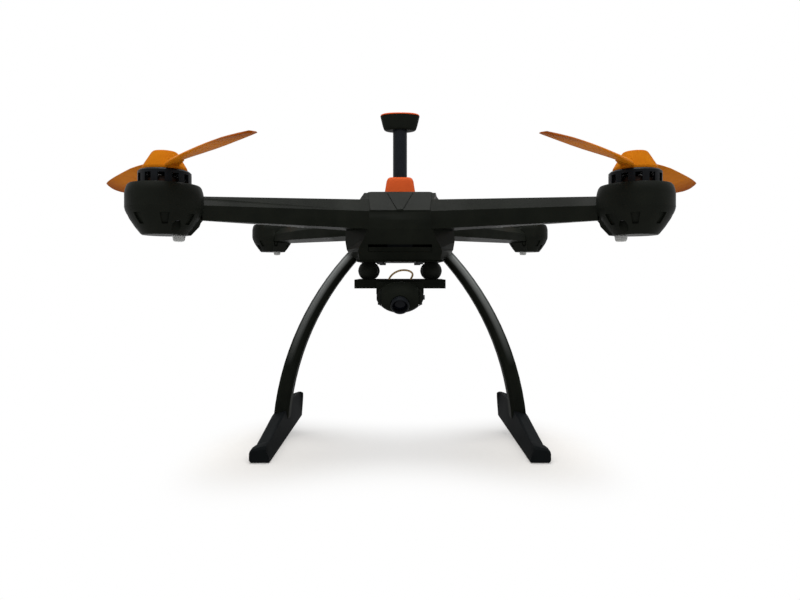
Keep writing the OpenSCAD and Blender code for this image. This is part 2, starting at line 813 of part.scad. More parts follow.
module shell_screws() {
    color(metal) {
        at_case_screws() screw(screw_r, boss_seat_z, seam_z + 4);
        four_corners() translate([cover_screws[0], cover_screws[1], 0])
            mirror([0, 0, 1]) screw(1.05, -deck_z - cover_t / 2, -deck_z + 5);
    }
}

// ---- Positioning mast ----

mast_low_z = lid_top_z + 3;

module at_mast_screws() {
    four_corners() translate([8.4, 8.4, 0]) children();
}

module rounded_square(w, h) {
    linear_extrude(h) offset(r = 3.4, $fn = 32) square(w - 6.8, center = true);
}

module mast_foot() {
    color(orange) difference() {
        hull() {
            translate([0, 0, lid_top_z]) rounded_square(foot_w, 1.6);
            translate([0, 0, lid_top_z + foot_h - 3.4]) rounded_square(foot_w - 3.6, 0.2);
            translate([0, 0, lid_top_z + foot_h - 1.2]) rounded_square(foot_w - 5.4, 0.2);
            translate([0, 0, lid_top_z + foot_h - 0.3]) rounded_square(foot_w - 7.6, 0.3);
        }
        rod(mast_r + run_gap, mast_low_z, lid_top_z + foot_h + 1);
        rod(2.4, lid_top_z - 1, mast_low_z + 1);
        at_mast_screws() rod(screw_r + run_gap, lid_top_z - 1, lid_top_z + 6);
    }
}

module mast_tube() {
    color("#1f2226") tube(mast_r, mast_r - mast_wall, mast_low_z, cup_z + 5);
}

// One level of the aerial cup or its cap: half width, half depth and height
cup_levels = [
    [cup_r - 4.6, cup_d - 1.6, cup_z], [cup_r - 3.7, cup_d - 1, cup_z + 0.7],
    [cup_r - 0.5, cup_d - 0.1, cup_top_z - 2], [cup_r, cup_d, cup_top_z]
];
cap_levels = [
    [cup_r - 0.2, cup_d - 0.2, cup_top_z], [cup_r - 0.2, cup_d - 0.2, cup_top_z + 0.4 * cap_h],
    [cup_r - 1, cup_d - 1, cup_top_z + 0.68 * cap_h], [0.6 * cup_r, 0.6 * cup_d, cup_top_z + 0.94 * cap_h],
    [0.25 * cup_r, 0.25 * cup_d, cup_top_z + cap_h]
];
oval_steps = 48;
oval_power = 0.82;

function oval_ring(level, inset) =
    [for (i = [0:oval_steps - 1])
        let (c = cos(360 * i / oval_steps), s = sin(360 * i / oval_steps))
        [sign(c) * pow(abs(c), oval_power) * (level[0] - inset),
            sign(s) * pow(abs(s), oval_power) * (level[1] - inset), level[2]]];

module aerial_cup() {
    color(black) difference() {
        union() {
            difference() {
                loft([for (level = cup_levels) oval_ring(level, 0)]);
                loft([oval_ring(cup_levels[1] + [0, 0, 1], 1.6), oval_ring(cup_levels[2], 1.6),
                    oval_ring(cup_levels[3] + [0, 0, 1], 1.6)]);
            }
            rod(mast_r + 1.8, cup_z + 0.5, cup_z + 5);
        }
        rod(mast_r + run_gap, cup_z - 1, cup_z + 5.1);
    }
}

module aerial_cap() {
    color(orange) difference() {
        loft([for (level = cap_levels) oval_ring(level, 0)]);
        loft([oval_ring([cup_r, cup_d, cup_top_z - 1], 3), oval_ring([cup_r, cup_d, cup_top_z + 0.4], 3)]);
    }
}

module aerial_module() {
    color(circuit) {
        translate([-9, -5.4, cup_z + 6]) cube([18, 10.8, 1.2]);
        translate([-6, -4.6, cup_z + 7.1]) cube([12, 9.2, 2.4]);
        rod(mast_r + 1.2, cup_z + 5, cup_z + 6.1);
    }
}

module aerial_cable() {
    color("#6b6f73") rod(1.4, shelf_top_z + 9.5, cup_z + 5);
}

module mast_screws() {
    color(metal) at_mast_screws() screw(screw_r, deck_z, lid_top_z + 5);
}

// ---- Landing gear, drawn on the left, where X is negative ----

leg_steps = 14;
leg_foot_z = 12;
leg_seat_z = belly_z + 2.3;
leg_foot_x = skid_in + skid_w / 2 + 0.1;
leg_seat_x = body_w / 2 + 0.6;

// The arch's centre, from its radius and the two points where a leg meets the body and
// its skid
leg_rise = leg_seat_z - leg_foot_z;
leg_run = leg_foot_x - leg_seat_x;
leg_span = norm([leg_run, leg_rise]);
leg_sag = sqrt(pow(leg_arc_r, 2) - pow(leg_span / 2, 2));
leg_arc_x = leg_rise / leg_span * leg_sag - (leg_foot_x + leg_seat_x) / 2;
leg_arc_z = (leg_foot_z + leg_seat_z) / 2 - leg_run / leg_span * leg_sag;
leg_foot_a = asin((leg_foot_z - leg_arc_z) / leg_arc_r);
leg_seat_a = asin((leg_seat_z - leg_arc_z) / leg_arc_r);
leg_top_a = asin((belly_z + 8 - leg_arc_z) / leg_arc_r);

function leg_ring(step) =
    let (f = step / leg_steps, a = leg_foot_a + (leg_top_a - leg_foot_a) * f,
        half_t = (leg_foot_t + (leg_top_t - leg_foot_t) * f) / 2, h = leg_w / 2, e = 2.4)
    [for (p = [[-half_t, e - h], [-half_t, h - e], [e - half_t, h], [half_t - e, h],
            [half_t, h - e], [half_t, e - h], [half_t - e, -h], [e - half_t, -h]])
        [leg_arc_x - (leg_arc_r - p[0]) * cos(a), -p[1], (leg_arc_r - p[0]) * sin(a) + leg_arc_z]];

// Distance from the middle, height of the ridge, height of the outer edge, and height
// of the sole, along a skid from its toe to its heel
skid_stations = [
    [-skid_front, 9.5, 6.5, 0.8], [-skid_front + 1.5, 11.2, 7.6, 0], [-skid_front + 9, 11.8, 8, 0],
    [-skid_front + 14, 11, 5.4, 0], [-30, 15.5, 10.6, 0], [-leg_w / 2, 18.6, 14.6, 0],
    [leg_w / 2, 20.4, 15.4, 0], [24, 22, 14.6, 0], [skid_rear, 20.6, 13.4, 0],
    [skid_rear + 4, 20.2, 14.2, 8], [skid_rear + 7, 20, 16, 16]
];

function skid_ring(s) =
    let (inner = -skid_in, outer = -skid_in - skid_w, ridge = -skid_in - 3.2)
    [[inner, s[0], s[3]], [outer + 1, s[0], s[3]], [outer, s[0], s[3] + 1], [outer, s[0], s[2]],
        [outer + 2.2, s[0], s[2] + 1.6], [ridge - 1, s[0], s[1]], [ridge + 1, s[0], s[1]],
        [inner, s[0], s[3] + 3]];

module skid_form() {
    loft([for (s = skid_stations) skid_ring(s)]);
}

// The axes of a leg's two upper screws: +Z runs up the leg's middle line
leg_boss_h = 5.4;

module leg_seat_pair() {
    for (y = [-4, 4]) translate([-leg_seat_x, y, leg_seat_z]) rotate([0, leg_seat_a, 0])
        children();
}

module leg_seats() {
    leg_seat_pair() children();
    mirror([1, 0, 0]) leg_seat_pair() children();
}

module foot_bolts() {
    for (y = [-4.4, 4.4]) translate([-skid_in - skid_w / 2, y, 0]) children();
}

module leg() {
    color(black) difference() {
        loft([for (step = [0:leg_steps]) leg_ring(step)]);
        body_form(0);
        skid_form();
        leg_seat_pair() rod(screw_r + run_gap, -9, leg_boss_h);
        foot_bolts() rod(screw_r + run_gap, 8, 26);
    }
}

module skid() {
    color("#232422") difference() {
        skid_form();
        foot_bolts() {
            rod(screw_r + run_gap, -1, 30);
            rod(1.8 * screw_r + 0.2, -1, 6);
        }
    }
}

module leg_screws() {
    color(metal) for (side = [0, 1]) mirror([side, 0, 0]) {
        foot_bolts() screw(screw_r, 6, 24);
        leg_seat_pair() mirror([0, 0, 1]) screw(screw_r, -leg_boss_h, 8);
    }
}

// ---- Gimbal ----

hanger_front = 44;
hanger_rear = 20;

module at_hanger_screws() {
    for (x = [-14.5, 14.5], y = [-38, 15]) translate([x, y, 0]) children();
}

module at_balls() {
    for (x = [-ball_span / 2, ball_span / 2], y = [-ball_front, ball_rear])
        translate([x, y, 0]) children();
}

module hanger_plate() {
    color(black) difference() {
        translate([-hanger_w / 2, -hanger_front, hanger_z])
            linear_extrude(hanger_t) translate([4, 4]) offset(r = 4, $fn = 32)
                square([hanger_w - 8, hanger_front + hanger_rear - 8]);
        at_balls() rod(neck_r, hanger_z - 1, hanger_z + neck_h);
        at_hanger_screws() {
            rod(screw_r + run_gap, hanger_z - 1, belly_z + 1);
        }
        translate([0, -12, 0]) rod(7, hanger_z - 1, belly_z + 1);
    }
}

module hanger_screws() {
    color(metal) at_hanger_screws() screw(screw_r, hanger_z, belly_z + 4);
}

neck_r = 2.6;
neck_h = hanger_t - 0.1;

module damper_balls() {
    mid_z = (hanger_z + tray_z) / 2;
    color("#151716") at_balls() {
        intersection() {
            translate([0, 0, mid_z]) sphere(r = ball_r);
            rod(2 * ball_r, tray_z, hanger_z);
        }
        rod(neck_r - run_gap, tray_z - neck_h, hanger_z + neck_h);
    }
}

module gimbal_tray() {
    w = tray_w / 2;
    l = tray_front + tray_rear;
    color("#1b1b1b") difference() {
        union() {
            difference() {
                translate([-w, -tray_front, tray_low_z]) linear_extrude(tray_h)
                    translate([2, 2]) offset(r = 2, $fn = 32) square([2 * w - 4, l - 4]);
                translate([-w + 11, -tray_front + 3, tray_low_z + 1.6])
                    cube([2 * w - 22, l - 6, tray_h]);
            }
            translate([-5, -tray_front + 1.5, roll_z + roll_r - 1])
                cube([10, 9, tray_low_z - roll_z - roll_r + 1.5]);
        }
        translate([-card_w / 2 - 0.2, tray_rear - 4, card_z - 0.2]) cube([card_w + 0.4, 5, card_t + 0.4]);
        at_balls() rod(neck_r, tray_z - neck_h, tray_z + 1);
        translate([0, -tray_front - 1, roll_z]) rotate([-90, 0, 0])
            cylinder(r = roll_r + seat_gap, h = 14);
    }
}

module gimbal_board() {
    w = tray_w - 23;
    color(circuit) {
        translate([-w / 2, -tray_front + 3.5, tray_low_z + 1.6])
            cube([w, tray_front + tray_rear - 7, 1.4]);
        translate([-6, -12, tray_low_z + 2.9]) cube([12, 12, 1.2]);
        for (x = [-9, 8]) translate([x - 3, -30, tray_low_z + 2.9]) cube([6, 5, 1.7]);
    }
}

// The card that stores the pictures, in a slot at the rear of the tray
card_w = 11;
card_t = 1;
card_l = 12;
card_z = tray_low_z + 3 + run_gap;

module memory_card() {
    color("#222222") translate([-card_w / 2, tray_rear + 0.8 - card_l, card_z])
        cube([card_w, card_l, card_t]);
}

// The gimbal's thin lead stands in a loop above the tray
lead_r = 0.5;
lead_route = [
    [-8.8, -28, 122.4], [-8.6, -28, 124.2], [-7.8, -27.9, 125.8], [-6.6, -27.8, 127.4],
    [-4.8, -27.7, 129], [-2.4, -27.6, 130.4], [0.4, -27.5, 131.3], [3.3, -27.5, 131.5],
    [6, -27.5, 131.2], [8.3, -27.6, 130.3], [9.6, -27.7, 128.9], [9.7, -27.9, 127.4],
    [8.9, -28, 125.8], [8, -28, 124.2], [7.7, -28, 122.4]
];

function lead_ring(i) =
    let (last = len(lead_route) - 1, a = lead_route[max(0, i - 1)], b = lead_route[min(last, i + 1)],
        t = (b - a) / norm(b - a), u = [0, 1, 0], v = cross(t, u) / norm(cross(t, u)), w = cross(v, t))
    [for (k = [0:7]) lead_route[i] + lead_r * (cos(45 * k) * v - sin(45 * k) * w)];

module gimbal_lead() {
    color("#8c857a") loft([for (i = [0:len(lead_route) - 1]) lead_ring(i)]);
}

roll_rear = tray_front - 12;
bell_gap = 0.6;
plate_front = tilt_y - camera_r - 1;
plate_rear = plate_front - 2.6;

// Turns a shape drawn along +Z so that it points forward from the roll axis
module on_roll_axis(y) {
    translate([0, y, roll_z]) rotate([90, 0, 0]) children();
}

module roll_motor() {
    color("#2c2e30") difference() {
        on_roll_axis(-roll_rear) cylinder(r = roll_r, h = tray_front - roll_rear - 0.4);
        on_roll_axis(-roll_rear - 0.6) cylinder(r = shaft_r + run_gap, h = 20);
    }
}

// Turns a shape drawn along +Z so that it points to the right from the tilt axis
module on_tilt_axis(x) {
    translate([x, -tilt_y, tilt_z]) rotate([0, 90, 0]) children();
}

cheek_t = (yoke_w - camera_w) / 2 - 0.4;
cheek_in = camera_w / 2 + 0.4;
end_r = 6.4;
pivot_r = 1.5;

// One side arm of the yoke, drawn on the right
module cheek() {
    on_tilt_axis(cheek_in) rotate_extrude() polygon([[0, 0], [end_r, 0], [end_r - 0.8, 0.9],
        [end_r - 2.6, 2], [end_r - 4.4, cheek_t], [0, cheek_t]]);
    translate([cheek_in, -tilt_y, tilt_z - end_r + 1])
        cube([cheek_t - 0.8, tilt_y - plate_rear, 2 * end_r - 2]);
}

module gimbal_yoke() {
    half = yoke_w / 2 + 0.8;
    top = tray_z - 1.7 - tilt_z;
    color(black) difference() {
        union() {
            cheek();
            mirror([1, 0, 0]) cheek();
            translate([0, -plate_rear, tilt_z]) rotate([90, 0, 0])
                linear_extrude(plate_front - plate_rear) polygon([
                    [half - 1.6, 1 - end_r], [half - 0.8, 0], [half, 2], [half, top],
                    [-half, top], [-half, 2], [0.8 - half, 0], [1.6 - half, 1 - end_r]]);
            on_roll_axis(-tray_front - bell_gap)
                cylinder(r = roll_r, h = plate_rear - tray_front - bell_gap + 0.5);
            on_roll_axis(-roll_rear - 1) cylinder(r = shaft_r, h = plate_rear - roll_rear);
        }
        on_tilt_axis(cheek_in - 1) cylinder(r = pivot_r + run_gap, h = 8);
        on_tilt_axis(-cheek_in - 4.5) cylinder(r = pivot_r, h = 5);
    }
}

motor_depth = 4.4;
motor_bore_r = end_r - 0.6;

// The tilt motor stands on the left cheek and fills a recess in the camera's side
module tilt_motor() {
    color("#2c2e30") {
        on_tilt_axis(-cheek_in) cylinder(r = motor_bore_r - 0.3, h = motor_depth);
        on_tilt_axis(-cheek_in - 2) cylinder(r = pivot_r, h = motor_depth + 5);
    }
}

module tilt_pivot() {
    color(metal) {
        on_tilt_axis(camera_w / 2 - 4) cylinder(r = pivot_r, h = yoke_w / 2 - camera_w / 2 + 4.2);
        on_tilt_axis(yoke_w / 2) cylinder(r = 1.7, h = 1);
    }
}

// Radius of the camera's ball at a distance from its middle plane
function ball_at(x) = camera_r * sqrt(1 - pow(x / (camera_w / 2 + 2.9), 2));
ball_steps = 12;
lens_l = camera_r - 2.6;

// Stands a shape, drawn up the Z axis, on the lens's axis at a distance from the tilt axis
module on_lens_axis(distance) {
    translate([0, -tilt_y, tilt_z]) rotate([90 + look_down, 0, 0]) translate([0, 0, distance])
        children();
}

module camera_ball() {
    half = camera_w / 2;
    color("#1d1e1d") difference() {
        on_tilt_axis(0) rotate_extrude() polygon(concat([[0, -half]],
            [for (i = [-ball_steps:ball_steps]) [ball_at(half * i / ball_steps), half * i / ball_steps]],
            [[0, half]]));
        on_tilt_axis(-half - 1) cylinder(r = motor_bore_r, h = motor_depth + 0.8 + 1);
        on_tilt_axis(-half - 1) cylinder(r = pivot_r + run_gap, h = motor_depth + 4.4);
        on_tilt_axis(half - 4.2) cylinder(r = pivot_r + run_gap, h = 6);
        on_lens_axis(4) cylinder(r = lens_r + run_gap, h = 20);
    }
}

module lens_ring() {
    color("#111213") on_lens_axis(4) difference() {
        rotate_extrude() polygon([[0, 0], [lens_r, 0], [lens_r, lens_l - 0.8],
            [lens_r - 0.8, lens_l], [0, lens_l]]);
        translate([0, 0, 3]) rotate_extrude() polygon([[0, 0], [lens_r - 1.6, 0],
            [lens_r - 1.6, lens_l - 5], [lens_r - 1, lens_l - 2], [0, lens_l - 2]]);
    }
}

module lens_glass() {
    color("#20303c", 0.6) on_lens_axis(7)
        rotate_extrude() polygon([[0, 0], [lens_r - 1.65, 0], [lens_r - 1.65, 2.2],
            [lens_r * 0.55, 3.1], [lens_r * 0.28, 3.6], [0, 3.8]]);
}

// ---- Battery ----

button_r = 3;
button_z = pack_z + pack_h / 2;

module battery_pack() {
    w = pack_w / 2;
    color("#2a2c2e") translate([0, pack_rear, pack_z + pack_h / 2]) rotate([90, 0, 0])
        linear_extrude(pack_l) offset(r = 2, $fn = 32) square([2 * w - 4, pack_h - 4], center = true);
}

module battery_cap() {
    w = pack_w / 2;
    color(black) difference() {
        intersection() {
            translate([-w, pack_rear, pack_z]) cube([2 * w, 30, pack_h]);
            body_form(0);
        }
        translate([0, body_l / 2 + 1, button_z]) rotate([90, 0, 0])
            cylinder(r = button_r + run_gap, h = 6);
        for (side = [-1, 1]) translate([side * (w - 4), body_l / 2, pack_z + 4]) for (k = [0:3])
            translate([-2, -1, 3.4 * k]) cube([4, 2, 1.6]);
    }
}

module power_button() {
    color("#55585a") translate([0, body_l / 2 + 0.3, button_z]) rotate([90, 0, 0])
        cylinder(r = button_r, h = 3.4);
}

module battery_latch() {
    color("#303332") {
        translate([-latch_w / 2, body_l / 2 - 4.4, latch_low_z]) cube([latch_w, 4.9, latch_h]);
        translate([-latch_w / 2 - 2, body_l / 2 - 5.4, latch_low_z]) cube([latch_w + 4, 1.6, latch_h]);
    }
}

upper_shell();
lower_shell();
deck_cover();
chassis_plate();
port_cover();
corner(-1, -1) at_motor() pod_cover();  // pod_cover_front_left
corner(1, -1) at_motor() pod_cover();  // pod_cover_front_right
corner(-1, 1) at_motor() pod_cover();  // pod_cover_rear_left
corner(1, 1) at_motor() pod_cover();  // pod_cover_rear_right
lamp_lenses();
lamp_boards();
motor_stators();
corner(-1, -1) at_motor() motor_bell();  // motor_bell_front_left
corner(1, -1) at_motor() motor_bell();  // motor_bell_front_right
corner(-1, 1) at_motor() motor_bell();  // motor_bell_rear_left
corner(1, 1) at_motor() motor_bell();  // motor_bell_rear_right
corner(-1, -1) at_motor() propeller();  // propeller_front_left
corner(1, -1) at_motor() propeller(91);  // propeller_front_right
corner(-1, 1) at_motor() propeller();  // propeller_rear_left
corner(1, 1) at_motor() propeller();  // propeller_rear_right
speed_controllers();
arm_wiring();
flight_controller();
power_board();
radio_receiver();
battery_socket();
shell_screws();
motor_screws();
pod_screws();
mast_foot();
mast_tube();
aerial_cup();
aerial_cap();
aerial_module();
aerial_cable();
mast_screws();
leg();  // leg_left
mirror([1, 0, 0]) leg();  // leg_right
skid();  // skid_left
mirror([1, 0, 0]) skid();  // skid_right
leg_screws();
hanger_plate();
hanger_screws();
damper_balls();
gimbal_tray();
gimbal_board();
gimbal_lead();
roll_motor();
gimbal_yoke();
tilt_motor();
tilt_pivot();
camera_ball();
lens_ring();
lens_glass();
memory_card();
battery_pack();
battery_cap();
power_button();
battery_latch();
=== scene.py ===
"""Looks of a camera quadcopter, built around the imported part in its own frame."""
import json
import logging
import math
from dataclasses import dataclass, field
from enum import Enum
from typing import Any, Callable, ClassVar, Sequence

import bmesh
import bpy
from mathutils import Matrix, Vector


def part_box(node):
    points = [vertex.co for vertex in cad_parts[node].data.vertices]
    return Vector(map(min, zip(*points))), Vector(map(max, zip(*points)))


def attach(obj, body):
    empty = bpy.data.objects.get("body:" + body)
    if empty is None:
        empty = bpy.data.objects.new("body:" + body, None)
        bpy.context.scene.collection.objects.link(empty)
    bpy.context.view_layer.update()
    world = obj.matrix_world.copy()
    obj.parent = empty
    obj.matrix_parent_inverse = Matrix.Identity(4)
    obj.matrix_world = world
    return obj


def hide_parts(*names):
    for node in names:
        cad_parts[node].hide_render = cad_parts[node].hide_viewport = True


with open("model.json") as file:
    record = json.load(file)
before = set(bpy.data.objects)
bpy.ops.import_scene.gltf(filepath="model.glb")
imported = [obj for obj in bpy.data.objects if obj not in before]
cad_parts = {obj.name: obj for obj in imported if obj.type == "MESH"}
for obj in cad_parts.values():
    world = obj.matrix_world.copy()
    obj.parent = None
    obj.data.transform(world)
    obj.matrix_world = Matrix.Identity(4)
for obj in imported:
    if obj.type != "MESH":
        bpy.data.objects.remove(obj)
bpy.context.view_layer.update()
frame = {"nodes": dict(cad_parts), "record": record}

LOG = logging.getLogger("quadcopter")
MM = 0.001
Point = tuple[float, float, float]
Pair = tuple[float, float]
Pairs = tuple[Pair, ...]
Station = tuple[float, float, float, float]
Piece = bpy.types.Object
Socket = bpy.types.NodeSocket


# ---- Colours, nodes and finishes ----

def linear(code: str) -> tuple[float, float, float, float]:
    """Turns an sRGB colour into the linear values that shaders use.

    Args:
        code: The colour as "#rrggbb".

    Returns:
        Red, green, blue and an alpha of 1.
    """
    parts = [int(code[i:i + 2], 16) / 255 for i in (1, 3, 5)]
    red, green, blue = (p / 12.92 if p <= 0.04045 else ((p + 0.055) / 1.055) ** 2.4 for p in parts)
    return red, green, blue, 1.0


def per_metre(size_mm: float) -> float:
    """Gives the scale at which a texture repeats every size_mm on Object coordinates."""
    return 1 / (size_mm * MM)


def waves_per_metre(pitch_mm: float) -> float:
    """Gives the same for the wave texture, which has 20 radians to a unit."""
    return per_metre(pitch_mm) * math.tau / 20


def add_node(tree: bpy.types.NodeTree, kind: str, sockets: dict[str | int, Any] | None = None,
             **settings: Any) -> bpy.types.Node:
    """Adds a shader node with its settings and links.

    Args:
        tree: The node tree that gets it.
        kind: The node's type, without the word ShaderNode.
        sockets: For each input, by name or number, its value or the output linked to it.
        settings: The node's own properties.

    Returns:
        The new node.
    """
    node = tree.nodes.new("ShaderNode" + kind)
    for key, value in settings.items():
        setattr(node, key, value)
    for key, value in (sockets or {}).items():
        if isinstance(value, Socket):
            tree.links.new(value, node.inputs[key])
        else:
            node.inputs[key].default_value = value
    return node


class Slot(Enum):
    """The record's material slots."""

    BLACK_SHELL = "black_shell"
    GREY_POLYMER = "grey_polymer"
    ORANGE_PLASTIC = "orange_plastic"
    AMBER_PLASTIC = "amber_plastic"
    ANODISED_METAL = "anodised_metal"
    COPPER_WINDINGS = "copper_windings"
    STEEL = "steel"
    CIRCUIT_BOARD = "circuit_board"
    MODULE_CASE = "module_case"
    TUBE_COMPOSITE = "tube_composite"
    SOFT_RUBBER = "soft_rubber"
    CORD_SHEATH = "cord_sheath"
    CLEAR_PLASTIC = "clear_plastic"
    LENS_GLASS = "lens_glass"


@dataclass(frozen=True)
class Surface:
    """A material in the making: its nodes, the object's own coordinates, its shader."""

    tree: bpy.types.NodeTree
    where: Socket
    shader: bpy.types.Node

    def fix(self, values: dict[str, Any]) -> None:
        """Sets constants on the shader's own sockets."""
        for socket, value in values.items():
            self.shader.inputs[socket].default_value = value

    def feed(self, socket: str, output: Socket) -> None:
        """Links an output to one of the shader's sockets."""
        self.tree.links.new(output, self.shader.inputs[socket])

    def bump(self, height: Socket, depth_mm: float) -> None:
        """Raises the surface.

        Args:
            height: Each point's height, from 0 to 1.
            depth_mm: How far a height of 1 stands up.
        """
        bump = add_node(self.tree, "Bump", {
            "Height": height, "Distance": depth_mm * MM})
        self.feed("Normal", bump.outputs["Normal"])

    def stain(self, share: Socket, code: str) -> None:
        """Mixes a colour over the base colour.

        Args:
            share: How much of it shows, from 0 to 1.
            code: The colour as "#rrggbb".
        """
        base = self.shader.inputs["Base Color"].links[0].from_socket
        mixed = add_node(self.tree, "Mix", {
            0: share, 6: base, 7: linear(code)}, data_type="RGBA")
        self.feed("Base Color", mixed.outputs[2])

    def folded(self) -> tuple[Socket, Socket]:
        """Gives the distance from the object's middle plane and the height.

        Returns:
            Both outputs, in metres.
        """
        place = add_node(self.tree, "SeparateXYZ", {0: self.where})
        across = add_node(self.tree, "Math", {0: place.outputs["X"]}, operation="ABSOLUTE")
        return across.outputs[0], place.outputs["Z"]

    def within(self, *limits: tuple[Socket, float, float]) -> Socket:
        """Gives 1 where all limits hold, and 0 where one fails.

        Args:
            limits: For each, an output, a value at which it fails and one at which it
                holds. It rises evenly between them.

        Returns:
            The product of the limits.
        """
        share = 1.0
        for value, fails, holds in limits:
            rise = add_node(self.tree, "MapRange", {
                "Value": value, "From Min": fails, "From Max": holds})
            share = add_node(self.tree, "Math", {
                0: share, 1: rise.outputs["Result"]}, operation="MULTIPLY").outputs[0]
        return share


@dataclass(frozen=True)
class Finish:
    """A surface: its name, its two colours and how it shines."""

    name: str
    colour: str
    shade: str
    roughness: float = 0.5
    specular: float = 0.5
    metallic: float = 0.0
    ior: float = 1.5

    def build(self) -> bpy.types.Material:
        """Makes the material: a plain shader that the finish's own method then dresses.

        Returns:
            The material.
        """
        material = bpy.data.materials.new(self.name)
        material.use_nodes = True
        tree = material.node_tree
        tree.nodes.clear()
        where = add_node(tree, "TexCoord").outputs["Object"]
        shader = add_node(tree, "BsdfPrincipled", {
            "Base Color": linear(self.colour), "Roughness": self.roughness,
            "Metallic": self.metallic, "IOR": self.ior, "Specular IOR Level": self.specular})
        add_node(tree, "OutputMaterial", {"Surface": shader.outputs["BSDF"]})
        self.dress(Surface(tree, where, shader))
        return material

    def dress(self, on: Surface) -> None:
        """Adds the surface's own detail: for a plain finish, a faint cloud of colour."""
        self.cloud(on, 9.0)

    def cloud(self, on: Surface, size_mm: float) -> None:
        """Mixes the two colours in soft clouds.

        Args:
            on: The surface.
            size_mm: The size of a cloud.
        """
        noise = add_node(on.tree, "TexNoise", {
            "Vector": on.where, "Scale": per_metre(size_mm), "Detail": 3.0, "Roughness": 0.6})
        on.feed("Base Color", self.between(on, noise.outputs["Fac"]))

    def between(self, on: Surface, share: Socket) -> Socket:
        """Gives a colour between the finish's two colours.

        Args:
            on: The surface.
            share: Where it lies between them, from 0 to 1.

        Returns:
            The first colour up to 0.3, and the second from 0.7.
        """
        mixer = add_node(on.tree, "ValToRGB", {"Fac": share})
        stops = zip(mixer.color_ramp.elements, (0.3, 0.7), (self.colour, self.shade))
        for stop, position, code in stops:
            stop.position = position
            stop.color = linear(code)
        return mixer.outputs["Color"]


@dataclass(frozen=True)
class MouldedPlastic(Finish):
    """Plastic from a spark-eroded mould: an even grain of tiny pits, softly varied gloss."""

    # Real grain is near 0.15 mm. It is drawn coarser so that it shows.
    grain_mm: float = 0.55
    depth_mm: float = 0.02
    cloud_mm: float = 14.0
    patch_mm: float = 24.0

    def dress(self, on: Surface) -> None:
        """Adds the grain, a cloud of colour and a slow change of roughness.

        Args:
            on: The surface.
        """
        self.cloud(on, self.cloud_mm)
        grain, patches = (
            add_node(on.tree, "TexNoise", {"Vector": on.where, "Scale": per_metre(size)}).outputs["Fac"]
            for size in (self.grain_mm, self.patch_mm))
        rough = add_node(on.tree, "MapRange", {
            "Value": patches, "To Min": self.roughness - 0.04,
            "To Max": self.roughness + 0.05})
        on.feed("Roughness", rough.outputs["Result"])
        on.bump(grain, self.depth_mm)


@dataclass(frozen=True)
class AirframePlastic(MouldedPlastic):
    """Moulded plastic whose gloss differs by place, and which has a painted highlight on the legs."""

    # The share of the gloss by metres from the middle plane: body, arm, pod
    gloss_across: Pairs = ((0.0, 1.0), (0.035, 1.0), (0.05, 0.6), (0.1, 0.6), (0.115, 1.0), (1.0, 1.0))
    # The belly and its underside are duller: the metres at which that starts and is full
    belly_gloss: float = 0.25
    belly_z: Pair = (0.168, 0.164)
    belly_x: Pair = (0.07, 0.062)
    under_z: Pair = (0.141, 0.137)
    # The circle that each leg's middle line follows, seen from the front
    arch_at: Point = (-0.1282, -0.0085, 0.0)
    arch_r: float = 0.225
    # The painted highlight's colour, its two edges across a leg, from that circle, and its two ends up
    # it
    leg_highlight_colour: str = "#7f8281"
    leg_highlight_edges: Pairs = ((-0.0012, 0.0014), (0.005, 0.003))
    leg_highlight_ends: Pairs = ((0.055, 0.14), (0.146, 0.142))

    def dress(self, on: Surface) -> None:
        """Adds the moulded surface, the change of gloss and the painted highlights on the legs.

        Args:
            on: The surface.
        """
        super().dress(on)
        self.vary_gloss(on)
        self.paint_leg_highlights(on)

    def vary_gloss(self, on: Surface) -> None:
        """Varies the gloss by place: less on the arms, hardly any on the belly.

        Args:
            on: The surface.
        """
        across, up = on.folded()
        level = add_node(on.tree, "FloatCurve", {1: across})
        first, *others, last = self.gloss_across
        points = level.mapping.curves[0].points
        points[0].location, points[1].location = first, last
        for spot, share in others:
            points.new(spot, share)
        level.mapping.update()
        belly = on.within((up, *self.belly_z), (across, *self.belly_x))
        under = on.within((up, *self.under_z))
        dull = add_node(on.tree, "Math", {0: belly, 1: under}, operation="MAXIMUM")
        gloss = add_node(on.tree, "MapRange", {
            "Value": dull.outputs[0], "To Min": self.specular,
            "To Max": self.specular * self.belly_gloss})
        result = add_node(on.tree, "Math", {
            0: gloss.outputs["Result"], 1: level.outputs[0]}, operation="MULTIPLY")
        on.feed("Specular IOR Level", result.outputs[0])

    def paint_leg_highlights(self, on: Surface) -> None:
        """Paints a grey highlight on the outer upper edges of the arched legs.

        Args:
            on: The surface.
        """
        across, up = on.folded()
        flat = add_node(on.tree, "CombineXYZ", {0: across, 1: up})
        reach = add_node(on.tree, "VectorMath", {
            0: flat.outputs["Vector"], 1: self.arch_at}, operation="DISTANCE").outputs["Value"]
        edges = [(reach, self.arch_r + fails, self.arch_r + holds)
                 for fails, holds in self.leg_highlight_edges]
        # Painted highlight: a light grey band in the colour, where light would catch the legs' outer
        # upper edges
        on.stain(on.within(*edges, *((up, *end) for end in self.leg_highlight_ends)), self.leg_highlight_colour)


